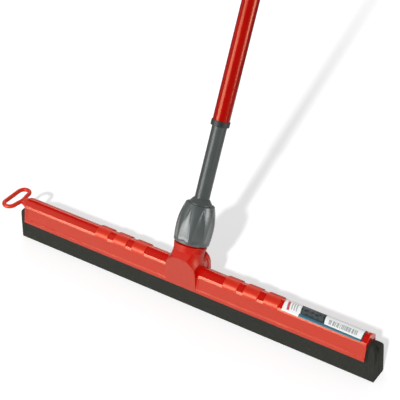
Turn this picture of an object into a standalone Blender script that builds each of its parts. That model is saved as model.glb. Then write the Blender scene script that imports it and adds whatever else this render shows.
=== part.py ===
"""Floor squeegee on a telescopic handle, modelled as separate pieces at real size.

The origin is the middle of the front rubber strip's sole. +X runs along the head, +Y points
behind it, where the handle leans, and +Z is up. Lengths are in metres.
"""
import math

import bmesh
import bpy
from mathutils import Matrix, Vector

MM = 0.001

# Clearances
TOUCH = 0.3 * MM             # between pieces that rest on each other
SLIDE = 0.3 * MM             # radial, between pieces that slide or turn on each other
EDGE = 1 * MM                # chamfer on turned plastic pieces

# Head frame: section
FRAME_LENGTH = 524 * MM
SKIRT_FOOT = 28 * MM         # height of the skirts' lower edges above the floor
SKIRT_DEPTH = 15.8 * MM      # half-depth over the skirts at their lower edges
LEDGE_HEIGHT = 51 * MM
LEDGE_DEPTH = 11.5 * MM      # half-depth over the ledges' outer edges
FRAME_WALL = 2.4 * MM
BEAD_HEIGHT = 4 * MM         # bead along each skirt's lower edge
BEAD_PROUD = 0.4 * MM
PANEL_RECESS = 0.6 * MM      # long panel sunk in each skirt
PANEL_TOP = 3 * MM           # border left above the panel
RIDGE_DEPTH = 7.65 * MM      # half-depth of the ridge
RIDGE_HEIGHT = 8.4 * MM      # above the ledges
END_BORDER = 4 * MM          # plain border of the skirts at the frame's ends

# Head frame: raised pads on each side of the socket
PAD_FIRST = 60.5 * MM
PAD_LENGTH = 20.4 * MM
PAD_PITCH = 29.7 * MM
PAD_COUNT = 3
PAD_HEIGHT = 3.4 * MM        # pad's flat shoulder above the ledge
PAD_PROUD = 1 * MM           # pad's round top above the ridge
PAD_SPREAD = 2.8 * MM        # how far the pad's round top is wider than the ridge

# Head frame: cheeks and socket
CHEEK_WIDTH = 22.7 * MM      # half-width of the arched cheeks
CHEEK_SPRING = 57 * MM       # height where the arch starts
CHEEK_RISE = 17.2 * MM
CHEEK_THICKNESS = 6 * MM
REAR_CHEEK_DEPTH = 21.5 * MM
FLAT_STEP = 0.2 * MM         # how far the socket's flat front lies behind the front cheek's face
HANDLE_LEAN = math.radians(27.3)
HANDLE_SETBACK = -5.5 * MM   # the handle's axis crosses the ledges' level here
SOCKET_FOOT_RADIUS = 24.2 * MM
SOCKET_RADIUS = 20.5 * MM
SOCKET_TOP = 34 * MM         # distances along the handle start at the ledges' level
SOCKET_ROOT = 26 * MM        # how far the socket's cone runs down before it is trimmed
NECK_RADIUS = 17.4 * MM
NECK_ROOT = 2 * MM           # how far the neck is sunk in the socket
NECK_TOP = 70 * MM
NECK_MOUTH = 8 * MM          # length of the conical mouth
NECK_FLARE = 2.4 * MM        # how much the mouth widens

# Hanging loop
LOOP_WIRE = 2.5 * MM         # radius of its bar
LOOP_WIDTH = 17 * MM         # over the bar's centre line, along X
LOOP_DEPTH = 44.5 * MM       # over the bar's centre line, along Y
LOOP_REACH = 24 * MM         # from the frame's end to the loop's centre
WEB_THICKNESS = 4.2 * MM
WEB_NECK = 7 * MM            # half-depth of the web where it meets the loop
WEB_RAMP = 11 * MM           # how far the ramp from the ridge reaches on to the web

# Rubber strips
STRIP_LENGTH = 545.4 * MM
STRIP_OFFSET = 1.9 * MM      # the strips stand out more at the right end
STRIP_FOOT = 13 * MM         # half-depth over both strips at the floor
STRIP_WAIST = 10.4 * MM      # the same at the skirts' lower edges
STRIP_HEAD = 8.4 * MM        # the same at the top
STRIP_CHAMFER = 0.6 * MM
STRIP_TOP_CHAMFER = 2.5 * MM
CARRIER_THICKNESS = 1 * MM
CARRIER_FOOT = 18 * MM       # height of the carrier's lower edge

# Label
LABEL_LENGTH = 106 * MM
LABEL_INSET = 7 * MM          # from the frame's end to the label
LABEL_THICKNESS = 0.4 * MM
LABEL_FROM = math.radians(62)
LABEL_TO = math.radians(168)

# Handle tubes
INNER_RADIUS = 9.6 * MM
INNER_WALL = 0.8 * MM
INNER_FOOT = 16 * MM
INNER_LENGTH = 700 * MM
OUTER_RADIUS = 11 * MM
OUTER_WALL = 0.7 * MM
OUTER_LENGTH = 720 * MM
BUSH_FOOT = 187 * MM
BUSH_LENGTH = 7 * MM
BUSH_FLOOR = 2 * MM          # wall under the outer tube's end
BUSH_WALL = 0.8 * MM
BUSH_CHAMFER = 0.5 * MM

# Clamp on the socket
COLLET_RADIUS = 12.3 * MM
COLLET_FOOT = 30 * MM
COLLET_HEAD = 2 * MM         # how far the collet stands out of the neck
COLLET_SLITS = 4
COLLET_SLIT_WIDTH = 1.6 * MM
COLLET_ROOT = 8 * MM         # length left whole under the slits
GLAND_FLANGE_RADIUS = 17.2 * MM
GLAND_FLANGE = 6.7 * MM
GLAND_RADIUS = 15.2 * MM
GLAND_NECK = 9 * MM
GLAND_CONE = 6 * MM
GLAND_TIP_RADIUS = 10.6 * MM
NUT_FOOT = 36 * MM
NUT_TOP = 87 * MM
NUT_FOOT_RADIUS = 22.8 * MM
NUT_RADIUS = 24.2 * MM
NUT_TOP_RADIUS = 18.4 * MM
NUT_BULGE = 20 * MM          # from the nut's foot to its widest place
NUT_FLUTES = 8
FLUTE_DEPTH = 2.2 * MM
FLUTE_WIDTH = 6.2 * MM       # half-width of a flute at its foot
FLUTE_BAND = 3 * MM          # plain band left under and over the flutes
LANCET_SHAPE = 0.8           # under 1 is fuller, over 1 is more pointed

# Plug and twist lock in the tubes
PLUG_FLANGE = 1.5 * MM
PLUG_SHANK = 14 * MM
SPINDLE_SHANK = 25 * MM
SPINDLE_FLANGE = 3 * MM
PIN_RADIUS = 3 * MM
PIN_LENGTH = 44 * MM
SLEEVE_LENGTH = 26 * MM
SLEEVE_ROOT = 4 * MM         # floor at the sleeve's foot
SLEEVE_BORE = 5.2 * MM       # radius over the floor
SLEEVE_MOUTH = 8.2 * MM      # radius at the top
SLEEVE_SLITS = 3
SLEEVE_SLIT_WIDTH = 1.6 * MM
CONE_LENGTH = 12 * MM
CONE_TRAVEL = 1 * MM
RETAINER_RADIUS = 8.5 * MM
RETAINER_LENGTH = 4 * MM

# Grip and end cap
GRIP_LENGTH = 130 * MM
GRIP_RADIUS = 14.5 * MM
GRIP_RIBS = 12
GRIP_RIB = 0.9 * MM
GRIP_END = 12 * MM           # plain length at each end
CAP_PLUG = 22 * MM
CAP_FLANGE = 4 * MM
CAP_EYE_RADIUS = 12 * MM
CAP_EYE_HOLE = 6.5 * MM
CAP_EYE_THICKNESS = 7 * MM
CAP_NECK = 5 * MM            # from the flange to the eye's lower edge

# Facets
ROUND_STEPS = 48
GRIP_STEPS = 24
HOLE_STEPS = 24
RIDGE_STEPS = 14
LOOP_STEPS = 10
NUT_RINGS = 8
FLUTE_STEPS = 8
LABEL_STEPS = 12
CUT_MARGIN = 2 * MM          # how far cutters run past a wall

strip_inner = CARRIER_THICKNESS / 2 + TOUCH
sole_outer = STRIP_FOOT - STRIP_CHAMFER
sole_inner = strip_inner + STRIP_CHAMFER
HEAD_OFFSET = (sole_outer + sole_inner) / 2     # from the origin to the head's middle plane
ledge_inner = LEDGE_HEIGHT - FRAME_WALL         # height of the channel's roof


def clear_scene():
    """Remove whatever the scene holds."""
    for item in list(bpy.data.objects):
        bpy.data.objects.remove(item, do_unlink=True)


def make_collection(name):
    """Return a new collection linked to the scene."""
    collection = bpy.data.collections.new(name)
    bpy.context.scene.collection.children.link(collection)
    return collection


def make_material(name, colour, roughness, metallic=0.0):
    """Return a Principled material."""
    material = bpy.data.materials.new(name)
    material.use_nodes = True
    shader = material.node_tree.nodes["Principled BSDF"]
    shader.inputs["Base Color"].default_value = (*colour, 1.0)
    shader.inputs["Roughness"].default_value = roughness
    shader.inputs["Metallic"].default_value = metallic
    material.diffuse_color = (*colour, 1.0)
    return material


clear_scene()
PARTS = make_collection("floor_squeegee")
CUTTERS = make_collection("floor_squeegee_cutters")

RED_PLASTIC = make_material("red_plastic", (0.72, 0.05, 0.03), 0.35)
BLACK_RUBBER = make_material("black_rubber", (0.045, 0.05, 0.045), 0.9)
GREY_PLASTIC = make_material("grey_plastic", (0.1, 0.115, 0.115), 0.4)
GREY_TUBE = make_material("grey_tube", (0.12, 0.13, 0.13), 0.35, 0.3)
RED_TUBE = make_material("red_tube", (0.6, 0.02, 0.015), 0.25, 0.2)
DARK_PLASTIC = make_material("dark_plastic", (0.03, 0.033, 0.033), 0.5)
WHITE_PLASTIC = make_material("white_plastic", (0.75, 0.75, 0.72), 0.4)
LABEL_PAPER = make_material("label_paper", (0.25, 0.4, 0.55), 0.5)
ZINC_STEEL = make_material("zinc_steel", (0.6, 0.6, 0.6), 0.35, 1.0)


def make_empty(name, location, parent=None, lean=0.0):
    """Return an empty that carries pieces; lean tilts it back about X."""
    empty = bpy.data.objects.new(name, None)
    empty.empty_display_size = 0.02
    empty.location = location
    empty.rotation_euler.x = -lean
    empty.parent = parent
    PARTS.objects.link(empty)
    return empty


HEAD = make_empty("head_datum", (0, HEAD_OFFSET, 0))
HANDLE = make_empty("handle_datum", (0, HANDLE_SETBACK, LEDGE_HEIGHT), HEAD, HANDLE_LEAN)


def add_mesh(name, mesh, parent, material=None, place=None, cutter=False):
    """Link a mesh as a part, or as a cutter that the build leaves out."""
    item = bpy.data.objects.new(name, mesh)
    item.parent = parent
    if place is not None:
        item.matrix_local = place
    if cutter:
        item.display_type = "WIRE"
        item.hide_render = True
        CUTTERS.objects.link(item)
    else:
        mesh.materials.append(material)
        PARTS.objects.link(item)
    return item


def boolean(item, cutter, operation="DIFFERENCE"):
    """Cut, join or intersect an object with a cutter."""
    modifier = item.modifiers.new(f"{operation.lower()}_{cutter.name}", "BOOLEAN")
    modifier.operation = operation
    modifier.solver = "EXACT"
    modifier.object = cutter


def smooth(item, angle=35):
    """Shade round faces smooth and keep edges over the angle sharp."""
    item.data.shade_smooth()
    item.data.set_sharp_from_angle(angle=math.radians(angle))


def outline_mesh(name, points, thickness):
    """Return a flat outline in XY as a closed mesh, extruded both ways along Z."""
    curve = bpy.data.curves.new(name, "CURVE")
    curve.dimensions = "2D"
    curve.fill_mode = "BOTH"
    curve.extrude = thickness / 2
    spline = curve.splines.new("POLY")
    spline.points.add(len(points) - 1)
    for point, (x, y) in zip(spline.points, points):
        point.co = (x, y, 0, 1)
    spline.use_cyclic_u = True
    return mesh_from_curve(name, curve)


def mesh_from_curve(name, curve):
    """Evaluate a curve to a mesh, weld its caps and remove the curve."""
    guide = bpy.data.objects.new(f"{name}_guide", curve)
    CUTTERS.objects.link(guide)
    graph = bpy.context.evaluated_depsgraph_get()
    mesh = bpy.data.meshes.new_from_object(guide.evaluated_get(graph))
    mesh.name = name
    bpy.data.objects.remove(guide, do_unlink=True)
    bpy.data.curves.remove(curve)
    work = bmesh.new()
    work.from_mesh(mesh)
    bmesh.ops.remove_doubles(work, verts=work.verts, dist=1e-6)
    bmesh.ops.recalc_face_normals(work, faces=work.faces)
    work.to_mesh(mesh)
    work.free()
    return mesh


def along_x(offset=0.0):
    """Return the placement that turns an outline's X, Y, Z into the head's Y, Z, X."""
    turn = Matrix(((0, 0, 1), (1, 0, 0), (0, 1, 0))).to_4x4()
    return Matrix.Translation((offset, 0, 0)) @ turn


def along_y(offset):
    """Return the placement that stands an XY outline up in XZ at a depth."""
    turn = Matrix(((1, 0, 0), (0, 0, -1), (0, 1, 0))).to_4x4()
    return Matrix.Translation((0, offset, 0)) @ turn


def turned(name, profile, parent, material=None, steps=ROUND_STEPS, cutter=False, ring=False):
    """Turn a profile of (radius, height) pairs, listed down its outer side, about Z.

    A ring's profile is closed and clear of the axis. Any other starts and ends on the axis.
    """
    mesh = bpy.data.meshes.new(name)
    corners = [(radius, 0, height) for radius, height in profile]
    edges = [(i, i + 1) for i in range(len(corners) - 1)]
    if ring:
        edges.append((len(corners) - 1, 0))
    mesh.from_pydata(corners, edges, [])
    item = add_mesh(name, mesh, parent, material, cutter=cutter)
    screw = item.modifiers.new("turn", "SCREW")
    screw.axis = "Z"
    screw.angle = 2 * math.pi
    screw.steps = steps
    screw.render_steps = steps
    screw.use_merge_vertices = True
    screw.merge_threshold = 1e-6
    screw.use_smooth_shade = True
    return item


def box_mesh(name, low, high):
    """Return a box between two corners as a mesh."""
    work = bmesh.new()
    bmesh.ops.create_cube(work, size=1)
    low, high = Vector(low), Vector(high)
    bmesh.ops.scale(work, vec=high - low, verts=work.verts)
    bmesh.ops.translate(work, vec=(low + high) / 2, verts=work.verts)
    mesh = bpy.data.meshes.new(name)
    work.to_mesh(mesh)
    work.free()
    return mesh


def mirrored(half):
    """Close an outline whose half is listed from bottom to top on the positive side."""
    return half + [(-x, y) for x, y in reversed(half) if x > 0]


def arch(width, rise, base, steps, start=0.0):
    """Return the points of a half ellipse over a base line, from its side up to its top."""
    points = []
    for i in range(steps):
        angle = start + (math.pi / 2 - start) * i / steps
        points.append((width * math.cos(angle), base + rise * math.sin(angle)))
    return points + [(0.0, base + rise)]


def skirt_face(height):
    """Return the half-depth of the skirts' drafted outer faces at a height."""
    share = (height - SKIRT_FOOT) / (LEDGE_HEIGHT - SKIRT_FOOT)
    return SKIRT_DEPTH + share * (LEDGE_DEPTH - SKIRT_DEPTH)


def channel_face(height):
    """Return the half-depth of the channel between the skirts at a height."""
    return skirt_face(height) - FRAME_WALL


def frame_outline(recess):
    """Return the frame's outer section, with the skirt panels sunk by a recess."""
    bead_top = SKIRT_FOOT + BEAD_HEIGHT
    panel_top = LEDGE_HEIGHT - PANEL_TOP
    bead = skirt_face(SKIRT_FOOT + BEAD_HEIGHT / 2) + BEAD_PROUD
    half = [
        (SKIRT_DEPTH - BEAD_PROUD, SKIRT_FOOT),
        (bead, SKIRT_FOOT + BEAD_HEIGHT / 4),
        (bead, bead_top - BEAD_HEIGHT / 4),
        (skirt_face(bead_top) - recess, bead_top),
        (skirt_face(panel_top) - recess, panel_top),
        (skirt_face(panel_top + recess), panel_top + recess),
        (LEDGE_DEPTH, LEDGE_HEIGHT - BEAD_PROUD),
        (LEDGE_DEPTH - BEAD_PROUD, LEDGE_HEIGHT),
    ]
    half += arch(RIDGE_DEPTH, RIDGE_HEIGHT, LEDGE_HEIGHT, RIDGE_STEPS)
    return mirrored(half)


def pad_outline():
    """Return the section of a raised pad, sunk into the ledges."""
    shoulder = LEDGE_HEIGHT + PAD_HEIGHT
    width = RIDGE_DEPTH + PAD_SPREAD
    rise = RIDGE_HEIGHT + PAD_PROUD
    start = math.asin(PAD_HEIGHT / rise)
    foot = LEDGE_HEIGHT - FRAME_WALL / 2
    half = [
        (skirt_face(foot) - PANEL_RECESS / 2, foot),
        (skirt_face(shoulder) + BEAD_PROUD, shoulder - BEAD_PROUD),
    ]
    half += arch(width, rise, LEDGE_HEIGHT, RIDGE_STEPS, start=start)
    return mirrored(half)


def cheek_outline(foot):
    """Return the arched outline of a cheek that stands on a foot height."""
    half = [(CHEEK_WIDTH, foot)]
    half += arch(CHEEK_WIDTH, CHEEK_RISE, CHEEK_SPRING, RIDGE_STEPS)
    return mirrored(half)


def add_loop(frame):
    """Join the hanging loop, its web and the ramp from the ridge to the frame's left end."""
    centre = -FRAME_LENGTH / 2 - LOOP_REACH
    radius = LOOP_WIDTH / 2
    straight = LOOP_DEPTH / 2 - radius
    path = []
    for side in (1, -1):
        for i in range(LOOP_STEPS + 1):
            angle = math.pi * i / LOOP_STEPS
            x = centre + side * radius * math.cos(angle)
            y = side * (straight + radius * math.sin(angle))
            path.append((x, y))
    curve = bpy.data.curves.new("hanging_loop", "CURVE")
    curve.dimensions = "3D"
    curve.bevel_depth = LOOP_WIRE
    curve.bevel_resolution = 3
    spline = curve.splines.new("POLY")
    spline.points.add(len(path) - 1)
    for point, (x, y) in zip(spline.points, path):
        point.co = (x, y, LEDGE_HEIGHT, 1)
    spline.use_cyclic_u = True
    loop = add_mesh("hanging_loop", mesh_from_curve("hanging_loop", curve), HEAD, cutter=True)
    boolean(frame, loop, "UNION")

    end = -FRAME_LENGTH / 2
    bar = centre + radius
    web_half = [
        (bar, WEB_NECK - LOOP_WIRE),
        (bar + LOOP_WIRE, WEB_NECK),
        (end - LOOP_WIRE, channel_face(LEDGE_HEIGHT)),
        (end + FRAME_WALL / 2, channel_face(LEDGE_HEIGHT)),
    ]
    web_points = web_half + [(x, -y) for x, y in reversed(web_half)]
    level = LEDGE_HEIGHT - LOOP_WIRE + TOUCH + WEB_THICKNESS / 2
    web_mesh = outline_mesh("loop_web", web_points, WEB_THICKNESS)
    web = add_mesh("loop_web", web_mesh, HEAD, place=Matrix.Translation((0, 0, level)), cutter=True)
    boolean(frame, web, "UNION")

    ridge_top = LEDGE_HEIGHT + RIDGE_HEIGHT - BEAD_PROUD
    ramp_points = [
        (end + FRAME_WALL / 3, LEDGE_HEIGHT + FLAT_STEP),
        (end + FRAME_WALL / 3, ridge_top),
        (end - WEB_RAMP, level + WEB_THICKNESS / 4),
        (end - WEB_RAMP, LEDGE_HEIGHT + FLAT_STEP),
    ]
    ramp_mesh = outline_mesh("ridge_ramp", ramp_points, RIDGE_DEPTH)
    boolean(frame, add_mesh("ridge_ramp", ramp_mesh, HEAD, place=along_y(0), cutter=True), "UNION")


def add_socket(frame):
    """Join the cheeks, the buttress, the tapered socket and its neck, and bore them."""
    front = outline_mesh("front_cheek", cheek_outline(SKIRT_FOOT + BEAD_HEIGHT / 2), CHEEK_THICKNESS)
    front_place = along_y(-SKIRT_DEPTH + CHEEK_THICKNESS / 2)
    boolean(frame, add_mesh("front_cheek", front, HEAD, place=front_place, cutter=True), "UNION")
    rear = outline_mesh("rear_cheek", cheek_outline(SKIRT_FOOT + BEAD_HEIGHT), CHEEK_THICKNESS)
    rear_place = along_y(REAR_CHEEK_DEPTH - CHEEK_THICKNESS / 2)
    boolean(frame, add_mesh("rear_cheek", rear, HEAD, place=rear_place, cutter=True), "UNION")

    buttress = box_mesh(
        "buttress",
        (-CHEEK_WIDTH + TOUCH, LEDGE_DEPTH - FRAME_WALL, SKIRT_FOOT + 1.5 * BEAD_HEIGHT),
        (CHEEK_WIDTH - TOUCH, REAR_CHEEK_DEPTH - CHEEK_THICKNESS / 2, LEDGE_HEIGHT - FRAME_WALL / 3),
    )
    boolean(frame, add_mesh("buttress", buttress, HEAD, cutter=True), "UNION")

    taper = (SOCKET_FOOT_RADIUS - SOCKET_RADIUS) / SOCKET_TOP
    socket_profile = [
        (0, SOCKET_TOP),
        (SOCKET_RADIUS - EDGE, SOCKET_TOP),
        (SOCKET_RADIUS, SOCKET_TOP - EDGE),
        (SOCKET_FOOT_RADIUS + taper * SOCKET_ROOT, -SOCKET_ROOT),
        (0, -SOCKET_ROOT),
    ]
    socket = turned("socket_cone", socket_profile, HANDLE, cutter=True)
    room = box_mesh(
        "socket_room",
        (-2 * SOCKET_FOOT_RADIUS, -SKIRT_DEPTH + FLAT_STEP, LEDGE_HEIGHT - FRAME_WALL / 2 + FLAT_STEP),
        (2 * SOCKET_FOOT_RADIUS, 3 * SOCKET_FOOT_RADIUS, LEDGE_HEIGHT + 3 * SOCKET_TOP),
    )
    boolean(socket, add_mesh("socket_room", room, HEAD, cutter=True), "INTERSECT")
    boolean(frame, socket, "UNION")

    neck_profile = [
        (0, NECK_TOP),
        (NECK_RADIUS, NECK_TOP),
        (NECK_RADIUS, SOCKET_TOP - NECK_ROOT),
        (0, SOCKET_TOP - NECK_ROOT),
    ]
    boolean(frame, turned("socket_neck", neck_profile, HANDLE, cutter=True), "UNION")


def bore_socket(frame):
    """Bore the socket for the collet and, below it, for the tube."""
    collet_bore = COLLET_RADIUS + TOUCH
    tube_bore = INNER_RADIUS + SLIDE
    bore_foot = INNER_FOOT - PLUG_FLANGE - 2 * TOUCH
    bore_profile = [
        (0, NECK_TOP + CUT_MARGIN),
        (collet_bore + NECK_FLARE, NECK_TOP + CUT_MARGIN),
        (collet_bore + NECK_FLARE, NECK_TOP),
        (collet_bore, NECK_TOP - NECK_MOUTH),
        (collet_bore, COLLET_FOOT - TOUCH),
        (tube_bore, COLLET_FOOT - TOUCH),
        (tube_bore, bore_foot),
        (0, bore_foot),
    ]
    boolean(frame, turned("socket_bore", bore_profile, HANDLE, cutter=True))


def add_head_frame():
    """Model the red moulding that everything else hangs on."""
    sunk = outline_mesh("head_frame", frame_outline(PANEL_RECESS), FRAME_LENGTH)
    frame = add_mesh("head_frame", sunk, HEAD, RED_PLASTIC, along_x())
    for side in (-1, 1):
        border_place = along_x(side * (FRAME_LENGTH - END_BORDER) / 2)
        border = outline_mesh(f"end_border_{side}", frame_outline(0.0), END_BORDER)
        boolean(frame, add_mesh(border.name, border, HEAD, place=border_place, cutter=True), "UNION")
        for number in range(PAD_COUNT):
            middle = side * (PAD_FIRST + number * PAD_PITCH + PAD_LENGTH / 2)
            pad = outline_mesh(f"pad_{number}_{side}", pad_outline(), PAD_LENGTH)
            boolean(frame, add_mesh(pad.name, pad, HEAD, place=along_x(middle), cutter=True), "UNION")
    add_socket(frame)
    add_loop(frame)

    below = SKIRT_FOOT - CUT_MARGIN
    channel_half = [(channel_face(below), below), (channel_face(ledge_inner), ledge_inner)]
    channel = outline_mesh("channel", mirrored(channel_half), FRAME_LENGTH + 2 * CUT_MARGIN)
    boolean(frame, add_mesh("channel", channel, HEAD, place=along_x(), cutter=True))
    hollow_half = [(RIDGE_DEPTH - FRAME_WALL, ledge_inner - CUT_MARGIN)]
    hollow_half += arch(RIDGE_DEPTH - FRAME_WALL, RIDGE_HEIGHT - FRAME_WALL, LEDGE_HEIGHT, RIDGE_STEPS // 2)
    hollow = outline_mesh("ridge_hollow", mirrored(hollow_half), FRAME_LENGTH - 2 * FRAME_WALL)
    boolean(frame, add_mesh("ridge_hollow", hollow, HEAD, place=along_x(), cutter=True))
    bore_socket(frame)


def strip_outline(side):
    """Return the section of one rubber strip on a side of the head."""
    top = ledge_inner - TOUCH
    outer = [
        (sole_outer, 0),
        (STRIP_FOOT, STRIP_CHAMFER),
        (STRIP_WAIST, SKIRT_FOOT),
        (STRIP_HEAD, top - STRIP_TOP_CHAMFER),
        (STRIP_HEAD - STRIP_TOP_CHAMFER, top),
    ]
    inner = [(strip_inner, top), (strip_inner, STRIP_CHAMFER), (sole_inner, 0)]
    points = [(side * y, z) for y, z in outer + inner]
    return points if side > 0 else points[::-1]


def add_strips():
    """Model the two rubber strips and the carrier that stands between them."""
    for name, side in (("front_blade", -1), ("rear_blade", 1)):
        mesh = outline_mesh(name, strip_outline(side), STRIP_LENGTH)
        add_mesh(name, mesh, HEAD, BLACK_RUBBER, along_x(STRIP_OFFSET))
    bead_width = RIDGE_DEPTH - FRAME_WALL - TOUCH
    bead_rise = RIDGE_HEIGHT - FRAME_WALL - TOUCH
    half = [
        (CARRIER_THICKNESS / 2, CARRIER_FOOT),
        (CARRIER_THICKNESS / 2, ledge_inner + TOUCH),
        (bead_width, ledge_inner + TOUCH),
    ]
    half += arch(bead_width, bead_rise, LEDGE_HEIGHT, RIDGE_STEPS // 2)
    length = FRAME_LENGTH - 2 * FRAME_WALL - 2 * TOUCH
    mesh = outline_mesh("blade_carrier", mirrored(half), length)
    add_mesh("blade_carrier", mesh, HEAD, WHITE_PLASTIC, along_x())


def add_label():
    """Model the thin label that follows the ridge's front."""
    inner_gap = TOUCH
    outer_gap = TOUCH + LABEL_THICKNESS
    angles = [LABEL_FROM + (LABEL_TO - LABEL_FROM) * i / LABEL_STEPS for i in range(LABEL_STEPS + 1)]

    def ring(gap, order):
        width, rise = RIDGE_DEPTH + gap, RIDGE_HEIGHT + gap
        return [(width * math.cos(a), LEDGE_HEIGHT + rise * math.sin(a)) for a in order]

    points = ring(outer_gap, angles) + ring(inner_gap, reversed(angles))
    middle = (FRAME_LENGTH - LABEL_LENGTH) / 2 - LABEL_INSET
    mesh = outline_mesh("info_label", points, LABEL_LENGTH)
    add_mesh("info_label", mesh, HEAD, LABEL_PAPER, along_x(middle))


def slit_boxes(item, name, parent, radius, width, low, high, count):
    """Cut evenly spaced slits, each through one wall, along a turned sleeve."""
    for number in range(count):
        mesh = box_mesh(f"{name}_{number}", (0, -width / 2, low), (radius, width / 2, high))
        turn = Matrix.Rotation(2 * math.pi * number / count, 4, "Z")
        boolean(item, add_mesh(mesh.name, mesh, parent, place=turn, cutter=True))


def add_clamp():
    """Model the collet, the gland ring and the nut that clamp the handle in the socket."""
    bore = INNER_RADIUS + SLIDE
    collet_top = NECK_TOP + COLLET_HEAD
    collet_profile = [
        (bore, collet_top),
        (COLLET_RADIUS + NECK_FLARE, collet_top),
        (COLLET_RADIUS + NECK_FLARE, NECK_TOP),
        (COLLET_RADIUS, NECK_TOP - NECK_MOUTH),
        (COLLET_RADIUS, COLLET_FOOT),
        (bore, COLLET_FOOT),
    ]
    collet = turned("socket_collet", collet_profile, HANDLE, WHITE_PLASTIC, ring=True)
    slit_boxes(
        collet, "collet_slit", HANDLE, 2 * COLLET_RADIUS, COLLET_SLIT_WIDTH,
        COLLET_FOOT + COLLET_ROOT, collet_top + CUT_MARGIN, COLLET_SLITS,
    )

    gland_foot = collet_top + TOUCH
    flange_top = gland_foot + GLAND_FLANGE
    cone_foot = flange_top + GLAND_NECK
    cone_top = cone_foot + GLAND_CONE
    gland_profile = [
        (bore, cone_top),
        (GLAND_TIP_RADIUS, cone_top),
        (GLAND_RADIUS, cone_foot),
        (GLAND_RADIUS, flange_top),
        (GLAND_FLANGE_RADIUS, flange_top),
        (GLAND_FLANGE_RADIUS, gland_foot),
        (bore, gland_foot),
    ]
    turned("clamp_gland", gland_profile, HANDLE, GREY_PLASTIC, ring=True)
    add_nut(flange_top + TOUCH)


def nut_radius(height):
    """Return the nut's outer radius at a height, before its flutes are cut."""
    bulge = NUT_FOOT + NUT_BULGE
    if height < bulge:
        share = (bulge - height) / NUT_BULGE
        return NUT_RADIUS - (NUT_RADIUS - NUT_FOOT_RADIUS) * share ** 2
    share = (height - bulge) / (NUT_TOP - bulge)
    return NUT_RADIUS - (NUT_RADIUS - NUT_TOP_RADIUS) * share ** 2


def add_nut(shoulder):
    """Model the fluted nut; its inner shoulder bears on the gland ring."""
    run = NUT_TOP - NUT_FOOT - 2 * EDGE
    thread_bore = NECK_RADIUS + SLIDE
    mouth = GLAND_RADIUS + SLIDE
    heights = [NUT_TOP - EDGE - run * i / NUT_RINGS for i in range(NUT_RINGS + 1)]
    profile = [(mouth, NUT_TOP), (nut_radius(NUT_TOP) - EDGE, NUT_TOP)]
    profile += [(nut_radius(height), height) for height in heights]
    profile += [
        (nut_radius(NUT_FOOT) - EDGE, NUT_FOOT),
        (thread_bore, NUT_FOOT),
        (thread_bore, shoulder),
        (mouth, shoulder),
    ]
    nut = turned("clamp_nut", profile, HANDLE, GREY_PLASTIC, ring=True)
    for number in range(NUT_FLUTES):
        flute = flute_cutter(f"nut_flute_{number}")
        turn = Matrix.Rotation(2 * math.pi * number / NUT_FLUTES, 4, "Z")
        boolean(nut, add_mesh(flute.name, flute, HANDLE, place=turn, cutter=True))


def flute_cutter(name):
    """Return a lancet prism that cuts one flat flute, pointed at its top."""
    foot = NUT_FOOT + FLUTE_BAND
    tip = NUT_TOP - FLUTE_BAND
    half = []
    for i in range(FLUTE_STEPS):
        share = i / FLUTE_STEPS
        width = FLUTE_WIDTH * math.cos(share * math.pi / 2) ** LANCET_SHAPE
        half.append((width, foot + (tip - foot) * share))
    half.append((0.0, tip))
    cutter_depth = 4 * FLUTE_DEPTH
    mesh = outline_mesh(name, mirrored(half), cutter_depth)
    mesh.transform(along_x(cutter_depth / 2))
    for vertex in mesh.vertices:
        vertex.co.x += nut_radius(vertex.co.z) - FLUTE_DEPTH
    return mesh


def add_tubes():
    """Model the two tubes, the foot plug and the slide bush."""
    inner_top = INNER_FOOT + INNER_LENGTH
    inner_bore = INNER_RADIUS - INNER_WALL
    inner_profile = [
        (inner_bore, inner_top),
        (INNER_RADIUS, inner_top),
        (INNER_RADIUS, INNER_FOOT),
        (inner_bore, INNER_FOOT),
    ]
    turned("inner_tube", inner_profile, HANDLE, GREY_TUBE, ring=True)

    plug_radius = inner_bore - TOUCH
    plug_top = INNER_FOOT + PLUG_SHANK
    flange_top = INNER_FOOT - TOUCH
    plug_profile = [
        (0, plug_top),
        (plug_radius - EDGE, plug_top),
        (plug_radius, plug_top - EDGE),
        (plug_radius, flange_top),
        (INNER_RADIUS, flange_top),
        (INNER_RADIUS, flange_top - PLUG_FLANGE),
        (0, flange_top - PLUG_FLANGE),
    ]
    turned("foot_plug", plug_profile, HANDLE, DARK_PLASTIC)

    outer_foot = BUSH_FOOT + BUSH_FLOOR + TOUCH
    outer_bore = OUTER_RADIUS - OUTER_WALL
    outer_profile = [
        (outer_bore, outer_foot + OUTER_LENGTH),
        (OUTER_RADIUS, outer_foot + OUTER_LENGTH),
        (OUTER_RADIUS, outer_foot),
        (outer_bore, outer_foot),
    ]
    turned("outer_tube", outer_profile, HANDLE, RED_TUBE, ring=True)

    bush_inner = INNER_RADIUS + SLIDE
    bush_seat = OUTER_RADIUS + TOUCH
    bush_outer = bush_seat + BUSH_WALL
    bush_top = BUSH_FOOT + BUSH_LENGTH
    bush_profile = [
        (bush_seat, bush_top),
        (bush_outer - BUSH_CHAMFER, bush_top),
        (bush_outer, bush_top - BUSH_CHAMFER),
        (bush_outer, BUSH_FOOT + BUSH_CHAMFER),
        (bush_outer - BUSH_CHAMFER, BUSH_FOOT),
        (bush_inner, BUSH_FOOT),
        (bush_inner, BUSH_FOOT + BUSH_FLOOR),
        (bush_seat, BUSH_FOOT + BUSH_FLOOR),
    ]
    turned("slide_bush", bush_profile, HANDLE, DARK_PLASTIC, ring=True)


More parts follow.
